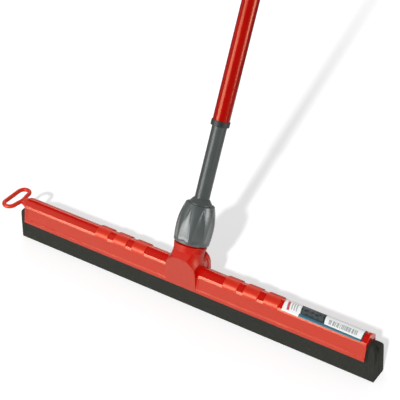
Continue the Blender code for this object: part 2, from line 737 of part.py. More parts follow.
def add_lock():
    """Model the twist lock: spindle, split sleeve, cone and retainer."""
    tube_top = INNER_FOOT + INNER_LENGTH
    shank_radius = INNER_RADIUS - INNER_WALL - TOUCH
    flange_foot = tube_top + TOUCH
    flange_top = flange_foot + SPINDLE_FLANGE
    pin_top = flange_top + PIN_LENGTH
    spindle_profile = [
        (0, pin_top),
        (PIN_RADIUS, pin_top),
        (PIN_RADIUS, flange_top),
        (INNER_RADIUS, flange_top),
        (INNER_RADIUS, flange_foot),
        (shank_radius, flange_foot),
        (shank_radius, tube_top - SPINDLE_SHANK),
        (0, tube_top - SPINDLE_SHANK),
    ]
    turned("lock_spindle", spindle_profile, HANDLE, ZINC_STEEL)

    sleeve_radius = OUTER_RADIUS - OUTER_WALL - SLIDE
    sleeve_foot = flange_top + TOUCH
    sleeve_top = sleeve_foot + SLEEVE_LENGTH
    root_bore = PIN_RADIUS + SLIDE
    sleeve_profile = [
        (SLEEVE_MOUTH, sleeve_top),
        (sleeve_radius, sleeve_top),
        (sleeve_radius, sleeve_foot),
        (root_bore, sleeve_foot),
        (root_bore, sleeve_foot + SLEEVE_ROOT),
        (SLEEVE_BORE, sleeve_foot + SLEEVE_ROOT),
    ]
    sleeve = turned("lock_sleeve", sleeve_profile, HANDLE, WHITE_PLASTIC, ring=True)
    slit_boxes(
        sleeve, "sleeve_slit", HANDLE, 2 * sleeve_radius, SLEEVE_SLIT_WIDTH,
        sleeve_foot + SLEEVE_ROOT, sleeve_top + CUT_MARGIN, SLEEVE_SLITS,
    )

    taper = (SLEEVE_MOUTH - SLEEVE_BORE) / (SLEEVE_LENGTH - SLEEVE_ROOT)
    cone_foot = sleeve_top - CONE_LENGTH / 2
    cone_foot_radius = SLEEVE_MOUTH - taper * CONE_LENGTH / 2 - SLIDE
    cone_profile = [
        (PIN_RADIUS + SLIDE, cone_foot + CONE_LENGTH),
        (cone_foot_radius + taper * CONE_LENGTH, cone_foot + CONE_LENGTH),
        (cone_foot_radius, cone_foot),
        (PIN_RADIUS + SLIDE, cone_foot),
    ]
    cone = turned("lock_cone", cone_profile, HANDLE, DARK_PLASTIC, ring=True)
    key_width = SLEEVE_SLIT_WIDTH - 2 * SLIDE
    for number in range(SLEEVE_SLITS):
        low = (PIN_RADIUS + 2 * SLIDE, -key_width / 2, cone_foot + TOUCH)
        high = (sleeve_radius - SLIDE, key_width / 2, cone_foot + CONE_LENGTH - TOUCH)
        turn = Matrix.Rotation(2 * math.pi * number / SLEEVE_SLITS, 4, "Z")
        key = box_mesh(f"cone_key_{number}", low, high)
        boolean(cone, add_mesh(key.name, key, HANDLE, place=turn, cutter=True), "UNION")

    retainer_foot = cone_foot + CONE_LENGTH + CONE_TRAVEL + TOUCH
    retainer_profile = [
        (PIN_RADIUS + TOUCH, retainer_foot + RETAINER_LENGTH),
        (RETAINER_RADIUS, retainer_foot + RETAINER_LENGTH),
        (RETAINER_RADIUS, retainer_foot),
        (PIN_RADIUS + TOUCH, retainer_foot),
    ]
    turned("lock_retainer", retainer_profile, HANDLE, ZINC_STEEL, ring=True)


def add_grip():
    """Model the ribbed hand grip and the end cap with its hanging eye."""
    tube_top = BUSH_FOOT + BUSH_FLOOR + TOUCH + OUTER_LENGTH
    grip_bore = OUTER_RADIUS + TOUCH
    grip_foot = tube_top - GRIP_LENGTH
    profile = [(grip_bore, tube_top), (GRIP_RADIUS - EDGE, tube_top), (GRIP_RADIUS, tube_top - EDGE)]
    rib_run = GRIP_LENGTH - 2 * GRIP_END
    pitch = rib_run / GRIP_RIBS
    for number in range(GRIP_RIBS):
        high = tube_top - GRIP_END - number * pitch
        profile += [
            (GRIP_RADIUS, high),
            (GRIP_RADIUS - GRIP_RIB, high - pitch * 0.25),
            (GRIP_RADIUS - GRIP_RIB, high - pitch * 0.4),
            (GRIP_RADIUS, high - pitch * 0.65),
        ]
    profile += [
        (GRIP_RADIUS, grip_foot + EDGE),
        (GRIP_RADIUS - EDGE, grip_foot),
        (grip_bore, grip_foot),
    ]
    turned("hand_grip", profile, HANDLE, DARK_PLASTIC, steps=GRIP_STEPS, ring=True)

    plug_radius = OUTER_RADIUS - OUTER_WALL - TOUCH
    flange_foot = tube_top + TOUCH
    flange_top = flange_foot + CAP_FLANGE
    cap_profile = [
        (0, flange_top),
        (GRIP_RADIUS - 2 * EDGE, flange_top),
        (GRIP_RADIUS - EDGE, flange_top - EDGE),
        (GRIP_RADIUS - EDGE, flange_foot),
        (plug_radius, flange_foot),
        (plug_radius, tube_top - CAP_PLUG),
        (0, tube_top - CAP_PLUG),
    ]
    cap = turned("end_cap", cap_profile, HANDLE, RED_PLASTIC)
    eye_centre = flange_top + CAP_NECK + CAP_EYE_HOLE
    eye_half = [(CAP_EYE_RADIUS, flange_top - EDGE)]
    eye_half += arch(CAP_EYE_RADIUS, CAP_EYE_RADIUS, eye_centre, RIDGE_STEPS)
    eye = outline_mesh("cap_eye", mirrored(eye_half), CAP_EYE_THICKNESS)
    boolean(cap, add_mesh("cap_eye", eye, HANDLE, place=along_y(0), cutter=True), "UNION")
    angles = [2 * math.pi * i / HOLE_STEPS for i in range(HOLE_STEPS)]
    hole = [(CAP_EYE_HOLE * math.cos(a), eye_centre + CAP_EYE_HOLE * math.sin(a)) for a in angles]
    hole_mesh = outline_mesh("cap_eye_hole", hole, CAP_EYE_THICKNESS + 2 * CUT_MARGIN)
    boolean(cap, add_mesh("cap_eye_hole", hole_mesh, HANDLE, place=along_y(0), cutter=True))


add_head_frame()
add_strips()
add_label()
add_clamp()
add_tubes()
add_lock()
add_grip()
for part in PARTS.objects:
    if part.type == "MESH":
        smooth(part)
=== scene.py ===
"""Dress the floor squeegee: detailed pieces, finishes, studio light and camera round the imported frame.

Every length is in metres. +X runs along the head, +Y points behind it and +Z is up.
"""

import logging
import math
from dataclasses import dataclass, replace
from enum import Enum
from typing import ClassVar, Iterable, Optional, Sequence, Union

import bmesh
import bpy
from mathutils import Euler, Matrix, Vector


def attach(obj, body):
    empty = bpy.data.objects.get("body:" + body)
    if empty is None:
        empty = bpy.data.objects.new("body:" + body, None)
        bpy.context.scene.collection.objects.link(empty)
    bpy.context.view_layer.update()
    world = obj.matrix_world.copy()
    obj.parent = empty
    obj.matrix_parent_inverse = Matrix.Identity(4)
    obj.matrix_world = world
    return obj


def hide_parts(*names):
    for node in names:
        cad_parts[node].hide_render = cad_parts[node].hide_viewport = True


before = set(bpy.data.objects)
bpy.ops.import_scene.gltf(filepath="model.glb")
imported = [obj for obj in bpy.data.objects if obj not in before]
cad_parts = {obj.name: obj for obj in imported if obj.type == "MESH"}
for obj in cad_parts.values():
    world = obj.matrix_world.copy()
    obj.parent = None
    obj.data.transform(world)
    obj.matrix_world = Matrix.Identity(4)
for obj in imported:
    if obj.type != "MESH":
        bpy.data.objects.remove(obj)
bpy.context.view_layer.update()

MM = 0.001
LOG = logging.getLogger("floor_squeegee")
Point2 = tuple[float, float]
Point3 = tuple[float, float, float]
Corner = tuple[float, float, float]     # across, up and rounding radius
Number = Union[int, float]
Value = Union["Channel", int, float]
Object = bpy.types.Object

HEAD_MIDDLE = 6.9 * MM          # the head's middle plane, behind the front strip's sole
LEDGE_HEIGHT = 51 * MM
HANDLE_LEAN = math.radians(27.3)
HANDLE_FOOT = Vector((0.0, 1.4 * MM, LEDGE_HEIGHT))
HEAD = Matrix.Translation((0.0, HEAD_MIDDLE, 0.0))
HANDLE = Matrix.Translation(HANDLE_FOOT) @ Matrix.Rotation(-HANDLE_LEAN, 4, "X")


class Axis(Enum):
    """Direction in which an outline is extruded, with the turn that takes its plane there."""

    ALONG_X = Matrix(((0, 0, 1), (1, 0, 0), (0, 1, 0))).to_4x4()
    ALONG_Y = Matrix(((1, 0, 0), (0, 0, -1), (0, 1, 0))).to_4x4()
    ALONG_Z = Matrix.Identity(4)


class Slot(Enum):
    """The record's material slots, one named with each piece below."""

    RED_PLASTIC = "red_plastic"
    BLACK_RUBBER = "black_rubber"
    GREY_PLASTIC = "grey_plastic"
    GREY_TUBE = "grey_tube"
    RED_TUBE = "red_tube"
    DARK_PLASTIC = "dark_plastic"
    LABEL_PAPER = "label_paper"


class Body(Enum):
    """Bodies of the frame that the pieces below ride on."""

    HEAD = "head"
    GLAND = "gland"
    NUT = "nut"
    INNER_HANDLE = "inner_handle"
    OUTER_HANDLE = "outer_handle"


class Channel:
    """A node's output that takes part in arithmetic; each expression adds its Math nodes."""

    def __init__(self, graph: "Graph", socket: bpy.types.NodeSocket) -> None:
        """Wrap a socket of a graph."""
        self.graph = graph
        self.socket = socket

    def _math(self, operation: str, *values: Value) -> "Channel":
        """Return the output of a Math node on the given values."""
        return self.graph.node("ShaderNodeMath", {"operation": operation}, dict(enumerate(values)))

    def __add__(self, other: Value) -> "Channel":
        """Return self + other."""
        return self._math("ADD", self, other)

    __radd__ = __add__

    def __sub__(self, other: Value) -> "Channel":
        """Return self - other."""
        return self._math("SUBTRACT", self, other)

    def __rsub__(self, other: Number) -> "Channel":
        """Return other - self."""
        return self._math("SUBTRACT", other, self)

    def __mul__(self, other: Value) -> "Channel":
        """Return self * other."""
        return self._math("MULTIPLY", self, other)

    __rmul__ = __mul__

    def __truediv__(self, other: Value) -> "Channel":
        """Return self / other."""
        return self._math("DIVIDE", self, other)

    def __rtruediv__(self, other: Number) -> "Channel":
        """Return other / self."""
        return self._math("DIVIDE", other, self)

    def __pow__(self, other: Value) -> "Channel":
        """Return self to a power."""
        return self._math("POWER", self, other)

    def function(self, operation: str, *values: Value) -> "Channel":
        """Return any other Math operation on self, such as COSINE or MINIMUM."""
        return self._math(operation, self, *values)

    def clamped(self) -> "Channel":
        """Return self held between 0 and 1."""
        return self._math("MINIMUM", self._math("MAXIMUM", self, 0.0), 1.0)

    def above(self, limit: Value) -> "Channel":
        """Return 1 where self is greater than a limit and 0 elsewhere."""
        return self._math("GREATER_THAN", self, limit)

    def smooth(self, low: Number, high: Number) -> "Channel":
        """Return a smooth step.

        Args:
            low: Where it is still 0.
            high: Where it has reached 1.

        Returns:
            The step's channel.
        """
        return self.graph.node(
            "ShaderNodeMapRange",
            {"interpolation_type": "SMOOTHSTEP"},
            {"Value": self, "From Min": low, "From Max": high},
        )


class Graph:
    """Builds nodes in a material's or a modifier's tree."""

    def __init__(self, tree: bpy.types.NodeTree) -> None:
        """Wrap a node tree."""
        self.tree = tree

    @classmethod
    def fresh(cls, owner: Union[bpy.types.Material, bpy.types.World]) -> "Graph":
        """Empty the node tree of a material or a world.

        Args:
            owner: The material or world.

        Returns:
            Its graph.
        """
        owner.use_nodes = True
        owner.node_tree.nodes.clear()
        return cls(owner.node_tree)

    def node(
        self,
        kind: str,
        settings: Optional[dict[str, object]] = None,
        inputs: Optional[dict[Union[str, int], object]] = None,
        output: Union[str, int] = 0,
    ) -> Channel:
        """Add a node.

        Args:
            kind: The node's type, such as ShaderNodeTexNoise.
            settings: The node's own settings, set before its sockets.
            inputs: Values or channels by socket name or number.
            output: Name or number of the output to return.

        Returns:
            The channel of the chosen output.
        """
        made = self.tree.nodes.new(kind)
        for name, value in (settings or {}).items():
            setattr(made, name, value)
        for key, value in (inputs or {}).items():
            socket = made.inputs[key]
            if isinstance(value, Channel):
                self.tree.links.new(value.socket, socket)
            else:
                socket.default_value = value
        return Channel(self, made.outputs[output] if made.outputs else None)

    def split(self, vector: Channel) -> tuple[Channel, Channel, Channel]:
        """Split a vector into its components.

        Args:
            vector: The vector's channel.

        Returns:
            The channels of x, y and z.
        """
        first = self.node("ShaderNodeSeparateXYZ", inputs={0: vector})
        outputs = first.socket.node.outputs
        return first, Channel(self, outputs[1]), Channel(self, outputs[2])

    def join(self, x: object, y: object, z: object) -> Channel:
        """Return a vector channel made of three components."""
        return self.node("ShaderNodeCombineXYZ", inputs={0: x, 1: y, 2: z})

    def mix(self, share: object, first: object, second: object) -> Channel:
        """Return a mix of two colours.

        Args:
            share: How much of the second colour shows.
            first: A colour channel or three numbers.
            second: A colour channel or three numbers.

        Returns:
            The mixed colour's channel.
        """
        colours = [c if isinstance(c, Channel) else (*c, 1.0) for c in (first, second)]
        inputs = {0: share, 6: colours[0], 7: colours[1]}
        return self.node("ShaderNodeMix", {"data_type": "RGBA"}, inputs, output=2)

    def upright(self, place: Channel) -> Channel:
        """Return coordinates turned so that Z runs along the handle."""
        return self.node("ShaderNodeMapping", inputs={"Vector": place, "Rotation": (HANDLE_LEAN, 0.0, 0.0)})

    def rays(self) -> tuple[Channel, Channel, Channel]:
        """Tell kinds of rays apart.

        Returns:
            Channels that are 1 for rays from the camera, for glossy rays and for transmission rays.
        """
        camera = self.node("ShaderNodeLightPath", output="Is Camera Ray")
        outputs = camera.socket.node.outputs
        others = (Channel(self, outputs[name]) for name in ("Is Glossy Ray", "Is Transmission Ray"))
        return camera, *others

    def noise(self, place: Channel, scale: float, detail: float = 2.0, roughness: float = 0.5) -> Channel:
        """Return a noise texture's factor at a number of cells per metre."""
        return self.node(
            "ShaderNodeTexNoise",
            inputs={"Vector": place, "Scale": scale, "Detail": detail, "Roughness": roughness},
        )

    def cells(self, place: Channel, scale: float) -> Channel:
        """Return a Voronoi texture's distance at a number of cells per metre."""
        return self.node("ShaderNodeTexVoronoi", inputs={"Vector": place, "Scale": scale})

    def bump(
        self, height: Channel, depth: float, strength: float, under: Optional[Channel] = None
    ) -> Channel:
        """Return a normal bent by a height.

        Args:
            height: Height from 0 to 1.
            depth: What a height of 1 means, in metres.
            strength: Strength of the Bump node.
            under: A normal to bend further.

        Returns:
            The normal's channel.
        """
        inputs: dict[Union[str, int], object] = {"Strength": strength, "Distance": depth, "Height": height}
        if under is not None:
            inputs["Normal"] = under
        return self.node("ShaderNodeBump", inputs=inputs)


@dataclass(frozen=True)
class Finish:
    """What every finish has: a name and the constants of its shader."""

    name: str
    constants: tuple[tuple[str, object], ...] = ()

    def material(self) -> bpy.types.Material:
        """Make the finish's material once and share it from then on.

        Returns:
            The material.
        """
        found = bpy.data.materials.get(self.name)
        if found is not None:
            return found
        made = bpy.data.materials.new(self.name)
        graph = Graph.fresh(made)
        pattern = self.pattern(graph, graph.node("ShaderNodeTexCoord", output="Object"))
        shader = graph.node("ShaderNodeBsdfPrincipled", inputs={**dict(self.constants), **pattern})
        graph.node("ShaderNodeOutputMaterial", inputs={"Surface": shader})
        return made

    def pattern(self, graph: Graph, place: Channel) -> dict[str, object]:
        """Add the nodes that vary the surface.

        Args:
            graph: The material's graph.
            place: Object coordinates, in metres.

        Returns:
            What goes into the shader's sockets, by their names.
        """
        raise NotImplementedError


@dataclass(frozen=True)
class MouldedPlastic(Finish):
    """Injection-moulded plastic: slight flow clouds, spark-eroded grain and fine scuffs."""

    colour: Point3 = (0.5, 0.5, 0.5)
    deep: Point3 = (0.4, 0.4, 0.4)
    scuff: Point3 = (0.7, 0.7, 0.7)
    roughness: float = 0.35
    grain: float = 1100.0
    relief: float = 0.012 * MM
    scuffs: float = 0.12

    def pattern(self, graph: Graph, place: Channel) -> dict[str, object]:
        """Return colour, roughness and normal of the moulded surface.

        Args:
            graph: The material's graph.
            place: Object coordinates, in metres.

        Returns:
            What goes into the shader's sockets, by their names.
        """
        clouds = graph.noise(place, 22.0, 3.0)
        drawn = graph.node("ShaderNodeMapping", inputs={"Vector": place, "Scale": (9, 60, 60)})
        flow = graph.noise(drawn, 1.0, 4.0)
        grain = graph.noise(place, self.grain, 2.0, 0.6)
        stretched = graph.node(
            "ShaderNodeMapping",
            inputs={"Vector": place, "Rotation": (0.3, 0.2, 0.5), "Scale": (40, 700, 700)},
        )
        lines = graph.noise(stretched, 1.0, 3.0, 0.7).smooth(0.66, 0.8)
        scratches = lines * graph.noise(place, 35.0).smooth(0.45, 0.7)
        body = graph.mix(((clouds + flow) * 0.5).smooth(0.3, 0.7), self.deep, self.colour)
        colour = graph.mix(scratches * self.scuffs, body, self.scuff)
        roughness = (clouds - 0.5) * 0.08 + (grain - 0.5) * 0.1 + scratches * 0.12 + self.roughness
        normal = graph.bump(grain, self.relief, 0.6)
        waves = graph.bump(flow, 0.05 * MM, 0.35, normal)
        return {"Base Color": colour, "Roughness": roughness, "Normal": waves}


@dataclass(frozen=True)
class CellularRubber(Finish):
    """Matte cellular rubber: open pores of two sizes with painted shade inside them, skin patches and grey
    dust in patches.
    """

    colour: Point3 = (0.05, 0.05, 0.045)
    pore_shade: Point3 = (0.012, 0.012, 0.011)
    dust: Point3 = (0.11, 0.11, 0.1)
    pores: float = 900.0

    def pattern(self, graph: Graph, place: Channel) -> dict[str, object]:
        """Return colour, roughness and normal of the cut foam.

        Args:
            graph: The material's graph.
            place: Object coordinates, in metres.

        Returns:
            What goes into the shader's sockets, by their names.
        """
        coarse = graph.cells(place, self.pores).smooth(0.12, 0.5)
        fine = graph.cells(place, self.pores * 2.4).smooth(0.1, 0.5)
        patches = graph.noise(place, 45.0, 4.0, 0.6)
        # the pores get a darker colour: painted shade inside them
        pore_shaded = graph.mix(coarse * 0.7 + fine * 0.3, self.pore_shade, self.colour)
        dusty = graph.noise(place, 260.0, 3.0, 0.65).smooth(0.5, 0.75) * patches.smooth(0.4, 0.7)
        colour = graph.mix(dusty * 0.55, pore_shaded, self.dust)
        roughness = 0.98 - coarse * 0.1
        normal = graph.bump(coarse, 0.25 * MM, 0.7)
        normal = graph.bump(fine, 0.1 * MM, 0.6, normal)
        normal = graph.bump(patches, 0.5 * MM, 0.4, normal)
        return {"Base Color": colour, "Roughness": roughness, "Normal": normal}


@dataclass(frozen=True)
class CoatedTube(Finish):
    """Steel tube under a gloss coat: orange peel and long rub marks."""

    colour: Point3 = (0.5, 0.5, 0.5)
    deep: Point3 = (0.4, 0.4, 0.4)
    rub: Point3 = (0.6, 0.6, 0.6)
    roughness: float = 0.28
    rubs: float = 0.2

    def pattern(self, graph: Graph, place: Channel) -> dict[str, object]:
        """Return colour, roughness and normal of the coated surface.

        Args:
            graph: The material's graph.
            place: Object coordinates, in metres.

        Returns:
            What goes into the shader's sockets, by their names.
        """
        turned = graph.upright(place)
        long_way = graph.node("ShaderNodeMapping", inputs={"Vector": turned, "Scale": (420.0, 420.0, 7.0)})
        peel = graph.noise(turned, 650.0, 2.0)
        clouds = graph.noise(turned, 30.0, 3.0)
        rubs = graph.noise(long_way, 1.0, 3.0, 0.65).smooth(0.6, 0.78) * clouds.smooth(0.35, 0.65)
        body = graph.mix(clouds.smooth(0.25, 0.75), self.deep, self.colour)
        colour = graph.mix(rubs * self.rubs, body, self.rub)
        roughness = (clouds - 0.5) * 0.06 + rubs * 0.15 + self.roughness
        normal = graph.bump(peel, 0.02 * MM, 0.35)
        return {"Base Color": colour, "Roughness": roughness, "Normal": normal}


@dataclass(frozen=True)
class PlatedSteel(Finish):
    """Zinc-plated steel: turned marks, spangle and dull spots."""

    colour: Point3 = (0.58, 0.59, 0.6)

    def pattern(self, graph: Graph, place: Channel) -> dict[str, object]:
        """Return colour, roughness and normal of the plated surface.

        Args:
            graph: The material's graph.
            place: Object coordinates, in metres.

        Returns:
            What goes into the shader's sockets, by their names.
        """
        turned = graph.upright(place)
        rings = graph.node("ShaderNodeMapping", inputs={"Vector": turned, "Scale": (20.0, 20.0, 3000.0)})
        marks = graph.noise(rings, 1.0, 2.0)
        spots = graph.cells(turned, 500.0)
        dull = tuple(0.7 * c for c in self.colour)
        colour = graph.mix(spots.smooth(0.2, 0.6), dull, self.colour)
        roughness = marks * 0.2 + spots * 0.15 + 0.22
        return {"Base Color": colour, "Roughness": roughness, "Normal": graph.bump(marks, 0.02 * MM, 0.5)}


@dataclass(frozen=True)
class PrintedFilm(Finish):
    """Glossy film label with plain fields of colour and bars, laid out on its UV map."""

    paper: Point3 = (0.9, 0.92, 0.91)
    dark: Point3 = (0.01, 0.018, 0.023)
    light_grey: Point3 = (0.2, 0.23, 0.23)
    band: Point3 = (0.008, 0.13, 0.19)
    spot: Point3 = (0.6, 0.06, 0.09)

    @staticmethod
    def _box(u: Channel, v: Channel, low: Point2, high: Point2) -> Channel:
        """Return 1 inside a rectangle of the label and 0 outside it."""
        across = u.above(low[0]) * (1.0 - u.above(high[0]))
        return across * v.above(low[1]) * (1.0 - v.above(high[1]))

    def pattern(self, graph: Graph, place: Channel) -> dict[str, object]:
        """Return colour, roughness and normal of the printed film.

        Args:
            graph: The material's graph.
            place: Object coordinates, in metres.

        Returns:
            What goes into the shader's sockets, by their names.
        """
        u, v, _ = graph.split(graph.node("ShaderNodeTexCoord", output="UV"))
        stretched = graph.join(u * 55.0, 0.0, 0.0)
        stripes = graph.node("ShaderNodeTexNoise", inputs={"Vector": stretched, "Scale": 1.0})
        tiles = graph.cells(graph.join(u * 22.0, v * 5.0, 0.0), 1.0)
        slant = u + (v - 0.35) * 0.03
        colour = graph.mix(self._box(slant, v, (0.05, 0.16), (0.082, 0.8)), self.paper, self.spot)
        marks = self._box(slant, v, (0.1, 0.28), (0.19, 0.8)) * (slant * 34.0).function("FRACT").above(0.5)
        colour = graph.mix(marks * 0.65, colour, self.light_grey)
        colour = graph.mix(self._box(slant, v, (0.222, 0.0), (0.525, 1.1)), colour, self.dark)
        block = self._box(slant, v, (0.24, 0.3), (0.5, 1.1)) * tiles.smooth(0.3, 0.5)
        colour = graph.mix(block * 0.25, colour, self.light_grey)
        bars = self._box(slant, v, (0.575, 0.3), (0.925, 0.62)) * stripes.smooth(0.4, 0.55)
        colour = graph.mix(bars * 0.8, colour, self.light_grey)
        low_band = v.function("LESS_THAN", 0.24 - (u * 0.09)) * u.above(0.215)
        colour = graph.mix(low_band, colour, self.band)
        # a dark strip along the label's right end
        colour = graph.mix(u.above(0.985), colour, self.dark)
        ink = graph.noise(place, 1500.0, 2.0)
        wrinkles = graph.noise(place, 120.0, 2.0)
        colour = graph.mix((ink - 0.4) * 0.2, colour, self.paper)
        normal = graph.bump(wrinkles, 0.05 * MM, 0.3)
        return {"Base Color": colour, "Roughness": ink * 0.1 + 0.28, "Normal": normal}


@dataclass(frozen=True)
class StudioFloor(Finish):
    """Pale floor that looks white to the camera where nothing shades it."""

    colour: Point3 = (0.75, 0.75, 0.75)
    bounce: Point3 = (0.5, 0.5, 0.5)
    lift: float = 0.45
    sheen: float = 0.5
    pool: float = 0.32
    far_tone: float = 0.12

    def material(self) -> bpy.types.Material:
        """Make a diffuse floor with a lift of plain light for rays that look at it.

        Returns:
            The floor's material.
        """
        made = bpy.data.materials.new(self.name)
        graph = Graph.fresh(made)
        place = graph.node("ShaderNodeTexCoord", output="Object")
        camera, glossy, passing = graph.rays()
        seen = camera.function("MAXIMUM", glossy).function("MAXIMUM", passing)
        clouds = graph.noise(place, 3.0).smooth(0.3, 0.7)
        tone = graph.mix(clouds * 0.02, graph.mix(seen, self.bounce, self.colour), (0.7, 0.7, 0.7))
        shader = graph.node("ShaderNodeBsdfDiffuse", inputs={"Color": tone})
        glow = graph.node("ShaderNodeEmission", inputs={
            "Color": (1, 1, 1, 1), "Strength": (camera + passing) * self.lift + glossy * self.sheen,
        })
        both = graph.node("ShaderNodeAddShader", inputs={0: shader, 1: glow})
        x, y, _ = graph.split(place)
        far = ((x * x + y * y) ** 0.5).smooth(self.pool, 2 * self.pool)
        dim = graph.node("ShaderNodeEmission", inputs={"Color": (1, 1, 1, 1), "Strength": self.far_tone})
        mixed = graph.node("ShaderNodeMixShader", inputs={0: glossy * far, 1: both, 2: dim})
        graph.node("ShaderNodeOutputMaterial", inputs={"Surface": mixed})
        return made


MOULDED_SHEEN = (1.0, 0.6, 0.38, 1.0)
COAT_SHEEN = (1.0, 0.5, 0.3, 1.0)
RED_MOULDED = MouldedPlastic(
    "red_moulded_plastic",
    constants=(("IOR", 1.65), ("Specular IOR Level", 0.95), ("Specular Tint", MOULDED_SHEEN)),
    colour=(0.62, 0.0015, 0.0006), deep=(0.58, 0.001, 0.0004), scuff=(0.66, 0.05, 0.025), roughness=0.22,
    scuffs=0.08,
)
SATIN_MOULDED = replace(
    RED_MOULDED, name="satin_red_plastic", roughness=0.42,
    constants=(("IOR", 1.65), ("Specular IOR Level", 0.5), ("Specular Tint", MOULDED_SHEEN)),
)
# Rougher copy of the red plastic for pads, web, ridge end and loop; its lighter, more orange colour is
# painted light, standing in for bounce light off the floor and reflected sheen.
ROUGH_RED_PAINTED_LIGHTER = MouldedPlastic(
    "rough_red_plastic_painted_lighter",
    constants=(("IOR", 1.6), ("Specular IOR Level", 0.8), ("Specular Tint", MOULDED_SHEEN)),
    colour=(0.76, 0.022, 0.007), deep=(0.71, 0.017, 0.005), scuff=(0.78, 0.08, 0.04), roughness=0.4,
    scuffs=0.08,
)
FOAM = CellularRubber(
    "cellular_rubber", constants=(("Specular IOR Level", 0.25),),
    colour=(0.038, 0.04, 0.032), pore_shade=(0.013, 0.014, 0.011), dust=(0.075, 0.076, 0.064),
)
NUT_PLASTIC = MouldedPlastic(
    "grey_moulded_plastic", constants=(("IOR", 1.6), ("Specular IOR Level", 0.8)),
    colour=(0.085, 0.103, 0.1), deep=(0.068, 0.083, 0.08), scuff=(0.2, 0.23, 0.23),
    roughness=0.36, scuffs=0.2,
)
GREY_COAT = CoatedTube(
    "grey_coated_tube", constants=(("Specular IOR Level", 0.35),),
    colour=(0.08, 0.09, 0.088), deep=(0.07, 0.079, 0.077), rub=(0.22, 0.23, 0.22), roughness=0.32,
)
RED_COAT = CoatedTube(
    "red_coated_tube", constants=(("Specular IOR Level", 0.62), ("Specular Tint", COAT_SHEEN)),
    colour=(0.46, 0.0015, 0.0006), deep=(0.42, 0.001, 0.0005), rub=(0.55, 0.05, 0.03), roughness=0.22,
)
DARK_MOULDED = MouldedPlastic(
    "dark_moulded_plastic", colour=(0.03, 0.033, 0.033), deep=(0.02, 0.022, 0.022), scuff=(0.12, 0.12, 0.12),
    roughness=0.48, scuffs=0.25,
)
SOFT_GRIP = MouldedPlastic(
    "soft_grip_rubber", constants=(("Specular IOR Level", 0.3),),
    colour=(0.035, 0.037, 0.037), deep=(0.022, 0.024, 0.024), scuff=(0.15, 0.15, 0.15),
    roughness=0.7, grain=1500.0, relief=0.05 * MM, scuffs=0.3,
)
NATURAL_PLASTIC = MouldedPlastic(
    "natural_plastic", colour=(0.72, 0.71, 0.66), deep=(0.62, 0.61, 0.56), scuff=(0.8, 0.8, 0.78),
    roughness=0.42,
)
LABEL_FILM = PrintedFilm("label_film", constants=(("Specular IOR Level", 0.5),))
ZINC = PlatedSteel("zinc_plated_steel", constants=(("Metallic", 1.0),))


class Outline:
    """A closed or open chain of corners in a plane, each with its own rounding."""

    def __init__(self, corners: Iterable[Corner], closed: bool = True) -> None:
        """Take corners as (across, up, rounding radius)."""
        self.corners = list(corners)
        self.closed = closed

    def points(self, steps: int = 4) -> list[Point2]:
        """Return the chain's points with each corner replaced by an arc.

        Args:
            steps: Number of segments in each arc.

        Returns:
            The points, in the order of the corners.
        """
        count = len(self.corners)
        found: list[Point2] = []
        for i, (x, y, radius) in enumerate(self.corners):
            corner = Vector((x, y))
            if radius <= 0 or (not self.closed and i in (0, count - 1)):
                found.append((x, y))
                continue
            before = Vector(self.corners[i - 1][:2]) - corner
            after = Vector(self.corners[(i + 1) % count][:2]) - corner
            half = before.angle(after) / 2
            reach = min(radius / math.tan(half), before.length * 0.49, after.length * 0.49)
            radius = reach * math.tan(half)
            first = corner + before.normalized() * reach
            last = corner + after.normalized() * reach
            bisector = (before.normalized() + after.normalized()).normalized()
            centre = corner + bisector * (radius / math.sin(half))
            start = first - centre
            sweep = math.pi - 2 * half
            side = 1.0 if start.cross(last - centre) > 0 else -1.0
            for k in range(steps + 1):
                angle = side * sweep * k / steps
                c, s = math.cos(angle), math.sin(angle)
                found.append((centre.x + c * start.x - s * start.y, centre.y + s * start.x + c * start.y))
        return found


def mirrored(half: Sequence[Corner]) -> list[Corner]:
    """Close a half outline, listed from bottom to top on the positive side, with its mirror image."""
    return list(half) + [(-x, y, r) for x, y, r in reversed(half) if x > 0]


def ellipse_arc(width: float, rise: float, base: float, steps: int) -> list[Corner]:
    """Return a quarter ellipse.

    Args:
        width: Half its width, on the base line.
        rise: Its height over the base line.
        base: The base line's height.
        steps: Number of segments.

    Returns:
        Its corners, from the base line up to its top.
    """
    angles = [math.pi / 2 * i / steps for i in range(steps)]
    arc = [(width * math.cos(a), base + rise * math.sin(a), 0.0) for a in angles]
    return arc + [(0.0, base + rise, 0.0)]


